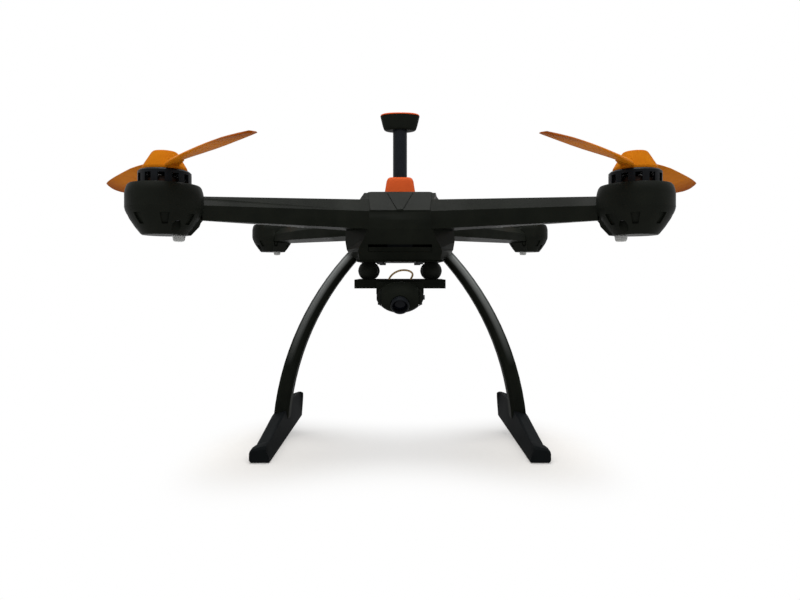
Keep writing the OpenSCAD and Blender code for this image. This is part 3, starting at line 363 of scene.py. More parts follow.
@dataclass(frozen=True)
class TintedNylon(Finish):
    """Glass-filled nylon of a propeller: glossy, slightly see-through, with flow streaks."""

    glow: float = 0.05
    glow_mm: float = 1.2
    streak_mm: float = 0.7
    # Painted shade: the colour that the blades darken to towards their tips, and its greatest share
    tip_shade_colour: str = "#74360f"
    tip_shade_share: float = 0.85
    # Where the painted shade on a blade's tip starts and ends, in metres from its axis
    tip_shade_reach: Pair = (0.075, 0.108)

    def dress(self, on: Surface) -> None:
        """Adds flow streaks and painted shade on the tips, and lets a little light into the plastic.

        Args:
            on: The surface.
        """
        self.cloud(on, 7.0)
        self.paint_tip_shade(on)
        streaks = add_node(on.tree, "TexNoise", {
            "Vector": on.where, "Scale": per_metre(self.streak_mm), "Detail": 3.0})
        on.bump(streaks.outputs["Fac"], 0.0015)
        on.fix({"Subsurface Weight": self.glow, "Subsurface Scale": self.glow_mm * MM,
                "Subsurface Radius": (1.0, 0.45, 0.15)})

    def paint_tip_shade(self, on: Surface) -> None:
        """Paints shade along the blades: darker with the distance from the nearest axis.

        Args:
            on: The surface.
        """
        low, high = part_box("motor_bell_front_right")
        axis = (low.x + high.x) / 2
        folded = add_node(on.tree, "VectorMath", {0: on.where}, operation="ABSOLUTE")
        level = add_node(on.tree, "VectorMath", {
            0: folded.outputs["Vector"], 1: (1, 1, 0)}, operation="MULTIPLY")
        reach = add_node(on.tree, "VectorMath", {
            0: level.outputs["Vector"], 1: (axis, axis, 0)}, operation="DISTANCE")
        start, end = self.tip_shade_reach
        share = add_node(on.tree, "MapRange", {
            "Value": reach.outputs["Value"], "From Min": start, "From Max": end,
            "To Max": self.tip_shade_share})
        # Painted shade: the blades turn darker towards their tips
        on.stain(share.outputs["Result"], self.tip_shade_colour)


@dataclass(frozen=True)
class TurnedMetal(Finish):
    """Metal turned on a lathe: level rings, darker where the dye took more."""

    # Real rings are near 0.2 mm apart. They are drawn coarser so that they show.
    ring_mm: float = 3.14
    depth_mm: float = 0.01

    def dress(self, on: Surface) -> None:
        """Adds turning rings and a cloud in the colour.

        Args:
            on: The surface.
        """
        self.cloud(on, 6.0)
        rings = add_node(on.tree, "TexWave", {
            "Vector": on.where, "Scale": waves_per_metre(self.ring_mm), "Distortion": 1.5},
            bands_direction="Z")
        on.bump(rings.outputs["Fac"], self.depth_mm)


@dataclass(frozen=True)
class WoundCopper(Finish):
    """Enamelled copper wire wound on stator teeth: level ridges, with painted shade in the gaps."""

    # Real strands are near 0.5 mm apart. They are drawn coarser so that they show.
    strand_mm: float = 3.14

    def dress(self, on: Surface) -> None:
        """Adds the strands as level ridges, with painted shade in the gaps between them.

        Args:
            on: The surface.
        """
        strands = add_node(on.tree, "TexWave", {
            "Vector": on.where, "Scale": waves_per_metre(self.strand_mm), "Distortion": 0.6},
            bands_direction="Z")
        # Painted shade: the low gaps between strands take the darker colour
        on.feed("Base Color", self.between(on, strands.outputs["Fac"]))
        on.bump(strands.outputs["Fac"], 0.2)


@dataclass(frozen=True)
class SolderMask(Finish):
    """A circuit board's green lacquer over copper: traces stand up and look lighter."""

    trace_mm: float = 1.6

    def dress(self, on: Surface) -> None:
        """Adds straight traces under the lacquer.

        Args:
            on: The surface.
        """
        traces = add_node(on.tree, "TexBrick", {
            "Vector": on.where, "Scale": per_metre(self.trace_mm * 2), "Mortar Size": 0.12,
            "Color1": linear(self.colour), "Color2": linear(self.colour),
            "Mortar": linear(self.shade)})
        on.feed("Base Color", traces.outputs["Color"])
        on.bump(traces.outputs["Fac"], 0.05)


@dataclass(frozen=True)
class WovenTube(Finish):
    """A tube of woven composite under smooth resin: a small dark twill that barely shows."""

    tow_mm: float = 1.6

    def dress(self, on: Surface) -> None:
        """Adds the twill as slanted bands crossing at the tow's width.

        Args:
            on: The surface.
        """
        slant = add_node(on.tree, "Mapping", {
            "Vector": on.where, "Rotation": (math.radians(45), math.radians(45), 0.0)})
        weave = add_node(on.tree, "TexChecker", {
            "Vector": slant.outputs["Vector"], "Scale": per_metre(self.tow_mm),
            "Color1": linear(self.colour), "Color2": linear(self.shade)})
        on.feed("Base Color", weave.outputs["Color"])
        on.fix({"Coat Weight": 0.08, "Coat Roughness": 0.3})


@dataclass(frozen=True)
class CastRubber(Finish):
    """Soft silicone rubber: dull, with a dusty sheen and a fine matt skin."""

    skin_mm: float = 0.4

    def dress(self, on: Surface) -> None:
        """Adds the matt skin and the sheen.

        Args:
            on: The surface.
        """
        self.cloud(on, 3.0)
        skin = add_node(on.tree, "TexNoise", {
            "Vector": on.where, "Scale": per_metre(self.skin_mm)})
        on.bump(skin.outputs["Fac"], 0.03)
        on.fix({"Sheen Weight": 0.05, "Sheen Roughness": 0.5})


@dataclass(frozen=True)
class ClearPlastic(Finish):
    """Clear moulded polycarbonate: lets most light through, with faint haze from the mould."""

    clear: float = 0.7
    haze_mm: float = 1.2

    def dress(self, on: Surface) -> None:
        """Adds haze, and a slight ripple that spreads the light of the lamp.

        Args:
            on: The surface.
        """
        on.fix({"Transmission Weight": self.clear})
        haze = add_node(on.tree, "TexNoise", {
            "Vector": on.where, "Scale": per_metre(self.haze_mm)})
        rough = add_node(on.tree, "MapRange", {
            "Value": haze.outputs["Fac"], "To Min": self.roughness * 0.6,
            "To Max": self.roughness * 1.4})
        on.feed("Roughness", rough.outputs["Result"])
        on.bump(haze.outputs["Fac"], 0.05)


@dataclass(frozen=True)
class CoatedGlass(Finish):
    """Optical glass with a thin coating: black inside, with a faint violet in its gloss."""

    coat: str = "#b9a6d8"

    def dress(self, on: Surface) -> None:
        """Adds a cloud of colour and the tinted coating.

        Args:
            on: The surface.
        """
        self.cloud(on, 8.0)
        on.fix({"Coat Weight": 0.06, "Coat Roughness": 0.05, "Coat Tint": linear(self.coat)})


@dataclass
class Wardrobe:
    """Holds one built material for each slot."""

    finishes: dict[Slot, Finish] = field(default_factory=lambda: {
        # Injection-moulded ABS, satin black: dark, a broad soft highlight on each bevel
        Slot.BLACK_SHELL: AirframePlastic("satin_black_abs", "#121411", "#171915", 0.42, 0.024),
        # Glass-filled polyamide: duller and a little greyer than the shells
        Slot.GREY_POLYMER: AirframePlastic("matt_grey_polyamide", "#0f1112", "#131516", 0.5, 0.03),
        # Coloured ABS: warm orange that keeps its colour in the light
        Slot.ORANGE_PLASTIC: MouldedPlastic("satin_orange_abs", "#c65322", "#bb4c1e", 0.45, 0.06),
        # Tinted nylon of the propellers: amber, with painted shade darkening the tips
        Slot.AMBER_PLASTIC: TintedNylon("amber_nylon", "#b06610", "#a55d0d", 0.42, 0.003),
        # Aluminium anodised black: dark, with a dull cool gleam
        Slot.ANODISED_METAL: TurnedMetal("black_anodised_aluminium", "#0d0e10", "#13161a",
                                         0.42, 0.06, 0.05),
        # Copper wire, coloured brown-black with a warm cast
        Slot.COPPER_WINDINGS: WoundCopper("enamelled_copper_wire", "#160b07", "#26130a",
                                          0.5, 0.1, 0.3),
        # Blackened steel of the screws: dark, softly shining
        Slot.STEEL: TurnedMetal("blackened_screw_steel", "#3a3b3c", "#2c2d2e", 0.4, 0.5, 0.9),
        # Lacquer on a circuit board: glossy green with lighter traces
        Slot.CIRCUIT_BOARD: SolderMask("green_solder_mask", "#123a26", "#1d5236", 0.35, 0.4),
        # Polycarbonate of the modules inside: plain dark grey
        Slot.MODULE_CASE: AirframePlastic("module_case_polycarbonate", "#1d2023", "#24282b",
                                         0.5, 0.15),
        # Woven composite in resin: blue-black and smooth
        Slot.TUBE_COMPOSITE: WovenTube("woven_tube_composite", "#0e1115", "#12161b", 0.45, 0.05),
        # Silicone of the dampers: dull black
        Slot.SOFT_RUBBER: CastRubber("soft_silicone_rubber", "#0f110e", "#141612", 0.6, 0.05),
        # Soft sheath of a thin wire: pale tan, matt
        Slot.CORD_SHEATH: CastRubber("tan_wire_sheath", "#dcb57c", "#e6c48f", 0.5, 0.1),
        # Polycarbonate of the lamps: clear and colourless
        Slot.CLEAR_PLASTIC: ClearPlastic("clear_polycarbonate", "#eef1f0", "#ffffff", 0.12, 0.5),
        # Glass of the camera's lens: a black mirror with a violet tinge
        Slot.LENS_GLASS: CoatedGlass("coated_lens_glass", "#040508", "#07090f", 0.12, 0.05),
    })
    built: dict[Slot, bpy.types.Material] = field(default_factory=dict)

    def dress(self, piece: Piece, slot: Slot) -> None:
        """Gives a whole piece one slot's material, which is built the first time.

        Args:
            piece: The piece.
            slot: Its slot.
        """
        if slot not in self.built:
            self.built[slot] = self.finishes[slot].build()
        piece.data.materials.clear()
        piece.data.materials.append(self.built[slot])


# ---- Modelling by hand ----

def select_none() -> None:
    """Leaves edit mode and deselects every object."""
    if bpy.context.object and bpy.context.object.mode != "OBJECT":
        bpy.ops.object.mode_set(mode="OBJECT")
    bpy.ops.object.select_all(action="DESELECT")


def make_active(piece: Piece) -> None:
    """Selects one piece alone and makes it the active one.

    Args:
        piece: The piece.
    """
    select_none()
    piece.select_set(True)
    bpy.context.view_layer.objects.active = piece


def settle(piece: Piece, name: str) -> Piece:
    """Names a piece and moves its place, turn and scale into its mesh.

    Args:
        piece: The piece.
        name: Its name.

    Returns:
        The same piece, at the origin.
    """
    make_active(piece)
    bpy.ops.object.transform_apply(location=True, rotation=True, scale=True)
    piece.name = piece.data.name = name
    return piece


def apply_modifier(piece: Piece, kind: str, **settings: Any) -> None:
    """Adds a modifier and applies it.

    Args:
        piece: The piece that it shapes.
        kind: The modifier's type.
        settings: Its properties.
    """
    modifier = piece.modifiers.new(kind.lower(), kind)
    for key, value in settings.items():
        setattr(modifier, key, value)
    make_active(piece)
    bpy.ops.object.modifier_apply(modifier=modifier.name)


class Change(Enum):
    """What a solid does to a piece."""

    ADD = "UNION"
    CUT = "DIFFERENCE"


def combine(piece: Piece, tool: Piece, change: Change) -> None:
    """Adds a solid to a piece or cuts it away.

    Args:
        piece: The piece that stays.
        tool: The solid, which is used up.
        change: What it does.
    """
    apply_modifier(piece, "BOOLEAN", operation=change.value, solver="EXACT", object=tool)
    bpy.data.objects.remove(tool)


def smooth(piece: Piece, sharp_deg: float = 35.0) -> None:
    """Shades a piece smooth, but leaves edges sharper than an angle crisp."""
    make_active(piece)
    bpy.ops.object.shade_smooth_by_angle(angle=math.radians(sharp_deg))


def outwards(piece: Piece) -> None:
    """Merges a piece's doubles and points its faces outwards.

    Args:
        piece: The piece.
    """
    make_active(piece)
    bpy.ops.object.mode_set(mode="EDIT")
    bpy.ops.mesh.select_all(action="SELECT")
    bpy.ops.mesh.remove_doubles(threshold=0.00001)
    bpy.ops.mesh.normals_make_consistent(inside=False)
    bpy.ops.object.mode_set(mode="OBJECT")


def select_where(piece: Piece, chosen: Callable[[Any], bool], edges: bool = False) -> None:
    """Selects the corners or the edges of a piece in edit mode that pass a test.

    Args:
        piece: The piece.
        chosen: The test.
        edges: Whether edges are tested, and not corners.
    """
    bpy.ops.mesh.select_all(action="DESELECT")
    shape = bmesh.from_edit_mesh(piece.data)
    for part in shape.edges if edges else shape.verts:
        part.select_set(chosen(part))
    bmesh.update_edit_mesh(piece.data)


def join(pieces: Sequence[Piece], name: str) -> Piece:
    """Joins pieces into one object.

    Args:
        pieces: The pieces, which are used up.
        name: The joined object's name.

    Returns:
        The joined object, at the origin.
    """
    make_active(pieces[0])
    for piece in pieces:
        piece.select_set(True)
    bpy.ops.object.join()
    return settle(bpy.context.object, name)


def copy_of(piece: Piece, name: str, place: Matrix = Matrix.Identity(4)) -> Piece:
    """Copies a piece with a mesh of its own and places the copy.

    Args:
        piece: The piece to copy.
        name: The copy's name.
        place: The move or turn that the copy's mesh gets.

    Returns:
        The copy, at the origin.
    """
    twin = piece.copy()
    twin.data = piece.data.copy()
    bpy.context.scene.collection.objects.link(twin)
    twin.data.transform(place)
    if place.determinant() < 0:
        twin.data.flip_normals()
    twin.name = twin.data.name = name
    return twin


def turned(name: str, profile: Sequence[Pair], sides: int = 64,
           place: Matrix = Matrix.Identity(4)) -> Piece:
    """Draws a round solid up from a disc: each step extrudes its top and resizes it.

    Args:
        name: The piece's name.
        profile: Radius and height of each step in millimetres, from the bottom up.
        sides: Corners round the disc.
        place: Where the solid's own axis and foot lie.

    Returns:
        The solid, closed and pointing outwards.
    """
    select_none()
    radius, height = profile[0]
    bpy.ops.mesh.primitive_circle_add(vertices=sides, radius=radius * MM, fill_type="NGON",
                                      location=(0, 0, height * MM))
    piece = bpy.context.object
    bpy.ops.object.mode_set(mode="EDIT")
    bpy.ops.mesh.select_all(action="SELECT")
    for next_radius, next_height in profile[1:]:
        bpy.ops.mesh.extrude_region_move(
            TRANSFORM_OT_translate={"value": (0, 0, (next_height - height) * MM)})
        share = next_radius / radius
        bpy.ops.transform.resize(value=(share, share, 1), center_override=(0, 0, next_height * MM))
        radius, height = next_radius, next_height
    bpy.ops.object.mode_set(mode="OBJECT")
    outwards(piece)
    settle(piece, name)
    piece.data.transform(place)
    return piece


@dataclass(frozen=True)
class EdgeWork:
    """How the edges of a moulded piece are rounded."""

    radius_mm: float = 0.5
    steps: int = 2
    sharp_deg: float = 24.0
    shortest_mm: float = 1.2
    smooth_deg: float = 35.0


def corner_degrees(edge: bmesh.types.BMEdge) -> float:
    """Gives how sharply an edge's two faces meet, or 0 where it has not two."""
    return math.degrees(edge.calc_face_angle(0.0)) if len(edge.link_faces) == 2 else 0.0


def round_edges(piece: Piece, work: EdgeWork) -> None:
    """Rounds the long sharp edges of a piece and shades it smooth.

    Args:
        piece: The piece, whose flat faces may be loose triangles.
        work: How round, and which edges count.
    """
    make_active(piece)
    bpy.ops.object.mode_set(mode="EDIT")
    bpy.ops.mesh.select_all(action="SELECT")
    bpy.ops.mesh.remove_doubles(threshold=0.000004)
    bpy.ops.mesh.select_mode(type="EDGE")
    select_where(piece, lambda edge: edge.calc_length() >= work.shortest_mm * MM
                 and corner_degrees(edge) >= work.sharp_deg, edges=True)
    bpy.ops.mesh.bevel(offset=work.radius_mm * MM, segments=work.steps, affect="EDGES",
                       clamp_overlap=True)
    bpy.ops.object.mode_set(mode="OBJECT")
    smooth(piece, work.smooth_deg)
    apply_modifier(piece, "WEIGHTED_NORMAL", weight=80, keep_sharp=True)


# ---- The object ----

@dataclass
class Assembly:
    """What sub-assemblies share: the finishes, and each CAD node's body and slot.

    Their own sizes are in millimetres.
    """

    wardrobe: Wardrobe
    body_of: ClassVar[dict[str, str]] = {
        name: body for body, names in frame["record"]["behaviour"]["bodies"].items()
        for name in names}
    slot_of: ClassVar[dict[str, Slot]] = {
        row["node"]: Slot(row["material_slot"]) for row in frame["record"]["subparts"]}

    def place(self, piece: Piece, body: str, slot: Slot) -> None:
        """Dresses a piece and lets it ride on a body.

        Args:
            piece: The finished piece.
            body: The body that it moves with.
            slot: Its finish.
        """
        self.wardrobe.dress(piece, slot)
        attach(piece, body)
        LOG.info("%s: %d faces, on %s", piece.name, len(piece.data.polygons), body)

    def stand_in(self, piece: Piece, node: str) -> None:
        """Puts a piece in the place of a CAD node, on its body and in its finish.

        Args:
            piece: The finished piece.
            node: The CAD node, which is then hidden.
        """
        self.place(piece, self.body_of[node], self.slot_of[node])
        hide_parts(node)

    def rounded(self, work: EdgeWork, *nodes: str) -> None:
        """Puts a copy with rounded edges in the place of each CAD node.

        Args:
            work: How the edges are rounded.
            nodes: The CAD nodes.
        """
        for node in nodes:
            piece = copy_of(frame["nodes"][node], node + "_moulded")
            for key in list(piece.keys()):
                del piece[key]
            piece.parent = None
            round_edges(piece, work)
            self.stand_in(piece, node)


# Each corner's side of the middle planes, across and along
CORNERS = {"front_left": (-1, -1), "front_right": (1, -1), "rear_left": (-1, 1), "rear_right": (1, 1)}


@dataclass
class Solids(Assembly):
    """Every CAD node in its finish. The ones with no finer piece are seen as they are."""

    def build(self) -> None:
        """Dresses the nodes and shades them flat."""
        for node, piece in frame["nodes"].items():
            self.wardrobe.dress(piece, self.slot_of[node])
            piece.data.shade_flat()
        LOG.info("%d nodes dressed", len(frame["nodes"]))


@dataclass
class Airframe(Assembly):
    """The shells, the deck, the pods and the hatch pieces."""

    shell_edges: EdgeWork = EdgeWork(0.7, 3)
    small_edges: EdgeWork = EdgeWork(0.3, 2, shortest_mm=0.6)

    def build(self) -> None:
        """Makes the rounded shells and covers."""
        self.rounded(self.shell_edges, "upper_shell", "lower_shell")
        self.rounded(self.small_edges, "deck_cover", "port_cover", "power_button", "battery_latch",
                     "battery_cap", *(f"pod_cover_{corner}" for corner in CORNERS))


@dataclass(frozen=True)
class RootWedge:
    """The wedge that carries a blade on its hub, in millimetres."""

    # Its two ends along the blade, inwards and outwards of the hub's rim
    inwards: float = 6.5
    outwards: float = 6.0
    # Across and up, from the blade's foot on the hub
    middle: Pair = (0.5, 1.1)
    size: Pair = (8.0, 4.2)
    # The outer end shrinks to these shares of that size, towards this point
    taper: Pair = (0.4, 0.3)
    taper_to: Pair = (2.6, 1.7)
    edge: float = 0.35


@dataclass
class Drives(Assembly):
    """The four motor bells and propellers."""

    edges: EdgeWork = EdgeWork(0.2, 1, shortest_mm=0.5)
    radius: float = 108.0
    chord: float = 17.6
    middle_angle: float = 15.0
    tip_t: float = 1.0
    root_t: float = 3.2
    lift: float = 1.2
    blade_height: float = 3.0
    # A section is half round above, and this share of that below
    underside: float = 0.14
    crown: float = 1.9
    section_corners: int = 28
    wedge: RootWedge = RootWedge()
    hub: Pairs = ((11.7, 0.0), (12.1, 0.4), (12.1, 1.6), (11.7, 2.5), (7.4, 9.8), (6.8, 10.6),
                  (6.1, 11.05), (3.0, 11.1))
    hub_sides: int = 18
    hub_smooth_deg: float = 15.0
    # What stays clear below the hub, around the bell
    clear_r: float = 14.8
    clear_depth: float = 15.0
    # How far each propeller is turned at rest, in the order of CORNERS
    rest_deg: tuple[float, ...] = (135, 136, 135, 135)
    # Share of the radius, then chord and lead as shares of the widest chord, and the
    # angle as a share of that at the middle
    stations: tuple[Station, ...] = (
        (0.06, 0.42, 0.26, 2.4), (0.11, 0.55, 0.28, 2.1), (0.17, 0.78, 0.3, 1.75),
        (0.25, 0.94, 0.33, 1.5), (0.36, 1, 0.34, 1.3), (0.48, 0.98, 0.3, 1.1),
        (0.6, 0.97, 0.25, 1), (0.7, 1.0, 0.2, 1.02), (0.8, 1.02, 0.14, 1.06),
        (0.88, 1.02, 0.07, 1.1), (0.93, 0.96, 0.01, 1.14), (0.965, 0.75, -0.14, 1.17),
        (0.985, 0.49, -0.27, 1.19), (0.996, 0.33, -0.35, 1.2), (1, 0.16, -0.42, 1.2))

    def section(self, station: Station) -> tuple[Vector, float, float, float]:
        """Works out a blade's section.

        Args:
            station: One row of the blade's stations.

        Returns:
            The middle of the flat side in metres, the chord and thickness in metres, the
            turn in radians.
        """
        share, chord_share, lead_share, turn_share = station
        turn = math.radians(turn_share * self.middle_angle)
        thick = self.tip_t + (self.root_t - self.tip_t) * (1 - share)
        chord = chord_share * self.chord
        along = lead_share * self.chord - chord / 2
        # The blade sweeps up at first and levels out towards its tip
        rise = self.lift * share * (2.6 - 1.6 * share)
        middle = Vector((share * self.radius, along * math.cos(turn),
                         self.blade_height + rise + along * math.sin(turn)))
        return middle * MM, chord * MM, thick * MM, turn

    def blade(self) -> Piece:
        """Extrudes a blade outwards from a half-round section, station by station.

        Returns:
            The blade, along +X from the hub's axis.
        """
        select_none()
        middle, chord, thick, turn = self.section(self.stations[0])
        bpy.ops.mesh.primitive_circle_add(
            vertices=self.section_corners, radius=0.5, fill_type="NGON",
            rotation=(0, math.radians(90), 0))
        piece = settle(bpy.context.object, "blade")
        bpy.ops.object.mode_set(mode="EDIT")
        select_where(piece, lambda corner: corner.co.z < -0.001)
        bpy.ops.transform.resize(value=(1, 1, self.underside), center_override=(0, 0, 0))
        bpy.ops.mesh.select_all(action="SELECT")
        bpy.ops.transform.resize(value=(1, chord, self.crown * thick), center_override=(0, 0, 0))
        self.turn_section(turn, Vector((0, 0, 0)))
        bpy.ops.transform.translate(value=middle)
        for station in self.stations[1:]:
            next_middle, next_chord, next_thick, next_turn = self.section(station)
            bpy.ops.mesh.extrude_region_move(
                TRANSFORM_OT_translate={"value": next_middle - middle})
            self.turn_section(-turn, next_middle)
            bpy.ops.transform.resize(value=(1, next_chord / chord, next_thick / thick),
                                     center_override=next_middle)
            self.turn_section(next_turn, next_middle)
            middle, chord, thick, turn = next_middle, next_chord, next_thick, next_turn
        bpy.ops.object.mode_set(mode="OBJECT")
        outwards(piece)
        return piece

    @staticmethod
    def turn_section(angle: float, centre: Vector) -> None:
        """Turns the selected section about the blade's axis, front edge up."""
        bpy.ops.transform.rotate(value=-angle, orient_axis="X", center_override=centre)

    def root(self) -> Piece:
        """Makes the wedge that carries a blade on the hub.

        Returns:
            The wedge, on the blade along +X.
        """
        select_none()
        wedge = self.wedge
        start, end = self.hub[1][0] - wedge.inwards, self.hub[1][0] + wedge.outwards
        across, up = wedge.middle
        bpy.ops.mesh.primitive_cube_add(size=1, location=(
            (start + end) / 2 * MM, across * MM, (self.blade_height + up) * MM))
        piece = bpy.context.object
        piece.scale = Vector((end - start, *wedge.size)) * MM
        settle(piece, "root")
        bpy.ops.object.mode_set(mode="EDIT")
        select_where(piece, lambda corner: corner.co.x > (end - 0.1) * MM)
        across, up = wedge.taper_to
        bpy.ops.transform.resize(value=(1, *wedge.taper), center_override=(
            end * MM, across * MM, (self.blade_height + up) * MM))
        bpy.ops.mesh.select_all(action="SELECT")
        bpy.ops.mesh.bevel(offset=wedge.edge * MM, segments=2, affect="EDGES")
        bpy.ops.object.mode_set(mode="OBJECT")
        return piece

    def propeller(self) -> Piece:
        """Joins hub and blades into one solid propeller.

        Returns:
            The propeller, with its foot at the origin.
        """
        hub = turned("hub", self.hub, self.hub_sides)
        clearance = turned("clearance", [(self.clear_r, -self.clear_depth), (self.clear_r, 0)])
        for part in (self.blade(), self.root()):
            for turn in (0, 180):
                arm = copy_of(part, "arm", Matrix.Rotation(math.radians(turn), 4, "Z"))
                combine(hub, arm, Change.ADD)
            bpy.data.objects.remove(part)
        combine(hub, clearance, Change.CUT)
        smooth(hub, self.hub_smooth_deg)
        return hub

    def build(self) -> None:
        """Makes each corner's bell and propeller."""
        pattern = self.propeller()
        height = self.hub[-1][1] * MM
        for (corner, (side, end)), rest_deg in zip(CORNERS.items(), self.rest_deg):
            self.rounded(self.edges, f"motor_bell_{corner}")
            node = f"propeller_{corner}"
            low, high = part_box(node)
            middle = (low + high) / 2
            rest = Matrix.Rotation(math.radians(rest_deg), 4, "Z")
            mirror = Matrix.Diagonal((side, end, 1, 1))
            foot = Matrix.Translation((middle.x, middle.y, high.z - height))
            self.stand_in(copy_of(pattern, node + "_moulded", foot @ mirror @ rest), node)
        bpy.data.objects.remove(pattern)


@dataclass
class Mast(Assembly):
    """The mast's foot, its cup and its cap."""

    edges: EdgeWork = EdgeWork(0.4, 2, shortest_mm=0.8)
    # Share of the half width and of the height, from the cup's foot up
    cup_curve: Pairs = ((0.74, 0.0), (0.785, 0.03), (0.82, 0.09), (0.85, 0.2), (0.885, 0.36),
                        (0.92, 0.55), (0.955, 0.75), (0.985, 0.93), (1.0, 1.0))
    cup_floor: float = 1.6
    cup_wall: float = 2.56
    cup_taper: float = 0.8
    bore_r: float = 6.1
    bore_depth: float = 5.0

    def cup(self) -> None:
        """Draws the oval cup up from its foot and hollows it for the aerial."""
        low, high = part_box("aerial_cup")
        half, tall = (high.x - low.x) / 2 / MM, (high.z - low.z) / MM
        oval = Matrix.Diagonal((1, (high.y - low.y) / (high.x - low.x), 1, 1))
        foot = Matrix.Translation(((low.x + high.x) / 2, (low.y + high.y) / 2, low.z))
        outside = [(half * wide, tall * up) for wide, up in self.cup_curve]
        inner = half - self.cup_wall
        inside = [(inner * self.cup_taper, self.cup_floor), (inner, tall + 1)]
        cup = turned("aerial_cup_moulded", outside, 72, foot @ oval)
        combine(cup, turned("hollow", inside, 48, foot @ oval), Change.CUT)
        bore = turned("bore", [(self.bore_r, -1), (self.bore_r, self.bore_depth)], 48, foot)
        combine(cup, bore, Change.CUT)
        smooth(cup, 40)
        self.stand_in(cup, "aerial_cup")

    def build(self) -> None:
        """Makes the mast's moulded pieces."""
        self.rounded(self.edges, "mast_foot", "aerial_cap")
        self.cup()


@dataclass
class LandingGear(Assembly):
    """The arched legs and their skids."""

    leg_edges: EdgeWork = EdgeWork(1.3, 3, sharp_deg=20, shortest_mm=2.0, smooth_deg=50)
    skid_edges: EdgeWork = EdgeWork(0.6, 2)

    def build(self) -> None:
        """Makes the rounded legs and skids."""
        for side in ("left", "right"):
            self.rounded(self.leg_edges, f"leg_{side}")
            self.rounded(self.skid_edges, f"skid_{side}")


@dataclass
class Gimbal(Assembly):
    """What hangs under the belly: hanger, dampers, tray, yoke and camera."""

    edges: EdgeWork = EdgeWork(0.35, 2, shortest_mm=0.8)
    ball_r: float = 7.5
    ball_steps: int = 18
    # The mould's seam stands up round the middle. The ball is smaller by half of it.
    seam: float = 0.12
    neck_r: float = 2.55
    lead_r: float = 0.75
    lead_route: tuple[Point, ...] = (
        (-8.8, -28, 122.4), (-8.6, -28, 124.2), (-7.8, -27.9, 125.8), (-6.6, -27.8, 127.4),
        (-4.8, -27.7, 129), (-2.4, -27.6, 130.4), (0.4, -27.5, 131.3), (3.3, -27.5, 131.5),
        (6, -27.5, 131.2), (8.3, -27.6, 130.3), (9.6, -27.7, 128.9), (9.7, -27.9, 127.4),
        (8.9, -28, 125.8), (8, -28, 124.2), (7.7, -28, 122.4))

    def ball_profile(self, half: float, neck_low: float, neck_high: float) -> list[Pair]:
        """Draws a damper's outline: a neck, a ball cut flat at both ends, a neck.

        Args:
            half: Half the height between its plates.
            neck_low: Where the lower neck ends, from the ball's middle.
            neck_high: Where the upper one ends.

        Returns:
            Radius and height of each step in millimetres, from the bottom up.
        """
        edge_angle = math.asin(half / self.ball_r)
        curve = []
        for step in range(self.ball_steps + 1):
            angle = -edge_angle + 2 * edge_angle * step / self.ball_steps
            seam = self.seam if step == self.ball_steps // 2 else 0.0
            curve.append((self.ball_r * math.cos(angle) + seam - self.seam / 2,
                          self.ball_r * math.sin(angle)))
        return [(self.neck_r, neck_low), (self.neck_r, -half), *curve, (self.neck_r, half),
                (self.neck_r, neck_high)]

    def dampers(self) -> None:
        """Makes the four rubber balls, each flat where it touches its plates."""
        low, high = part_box("damper_balls")
        plate_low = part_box("gimbal_tray")[1].z
        plate_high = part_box("hanger_plate")[0].z
        middle = (plate_low + plate_high) / 2
        half = (plate_high - plate_low) / 2 / MM
        ball = turned("ball", self.ball_profile(half, (low.z - middle) / MM, (high.z - middle) / MM), 48)
        smooth(ball, 40)
        inset = self.ball_r * MM
        balls = [copy_of(ball, "damper", Matrix.Translation((x, y, middle)))
                 for x in (low.x + inset, high.x - inset) for y in (low.y + inset, high.y - inset)]
        bpy.data.objects.remove(ball)
        self.stand_in(join(balls, "damper_balls_cast"), "damper_balls")

    def lead(self) -> None:
        """Lays the looped wire as one smooth tube."""
        curve = bpy.data.curves.new("lead", "CURVE")
        curve.dimensions = "3D"
        curve.bevel_depth = self.lead_r * MM
        curve.bevel_resolution = 3
        curve.resolution_u = 4
        curve.use_fill_caps = True
        spline = curve.splines.new("NURBS")
        spline.points.add(len(self.lead_route) - 1)
        for point, place in zip(spline.points, self.lead_route):
            point.co = (*(Vector(place) * MM), 1)
        spline.order_u = 4
        spline.use_endpoint_u = True
        wire = bpy.data.objects.new("lead", curve)
        bpy.context.scene.collection.objects.link(wire)
        make_active(wire)
        bpy.ops.object.convert(target="MESH")
        piece = settle(bpy.context.object, "gimbal_lead_wire")
        smooth(piece, 60)
        self.stand_in(piece, "gimbal_lead")

    def build(self) -> None:
        """Makes the gimbal's rounded and cast pieces."""
        self.rounded(self.edges, "hanger_plate", "gimbal_tray", "gimbal_yoke", "roll_motor",
                     "camera_ball", "lens_ring")
        self.dampers()
        self.lead()


@dataclass
class Lamps(Assembly):
    """The clear lamp lenses under the pods, with a bright cup inside each."""

    lens_r: float = 3.8
    # How far a lens is smaller than that, and the height above its foot
    lens_curve: Pairs = ((1.6, 0.0), (1.0, 0.25), (0.55, 0.9), (0.05, 3.35), (0.05, 3.4), (0.6, 3.4),
                         (0.6, 5.2))
    # Radius and height above the lens's foot
    cup_curve: Pairs = ((1.0, 1.2), (1.6, 1.5), (2.2, 3.0), (2.4, 4.0), (2.4, 5.1))

    def build(self) -> None:
        """Makes the four lenses and their reflectors."""
        low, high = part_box("lamp_lenses")
        outline = [(self.lens_r - less, up) for less, up in self.lens_curve]
        inset = self.lens_r * MM
        patterns = {"lens": turned("lens", outline, 40), "cup": turned("cup", self.cup_curve, 32)}
        copies: dict[str, list[Piece]] = {}
        for name, pattern in patterns.items():
            smooth(pattern)
            copies[name] = [
                copy_of(pattern, name, Matrix.Translation((
                    high.x - inset if side > 0 else low.x + inset,
                    high.y - inset if end > 0 else low.y + inset, low.z)))
                for side, end in CORNERS.values()]
            bpy.data.objects.remove(pattern)
        self.stand_in(join(copies["lens"], "lamp_lenses_clear"), "lamp_lenses")
        self.place(join(copies["cup"], "lamp_reflectors"), "airframe", Slot.STEEL)


# ---- The studio ----

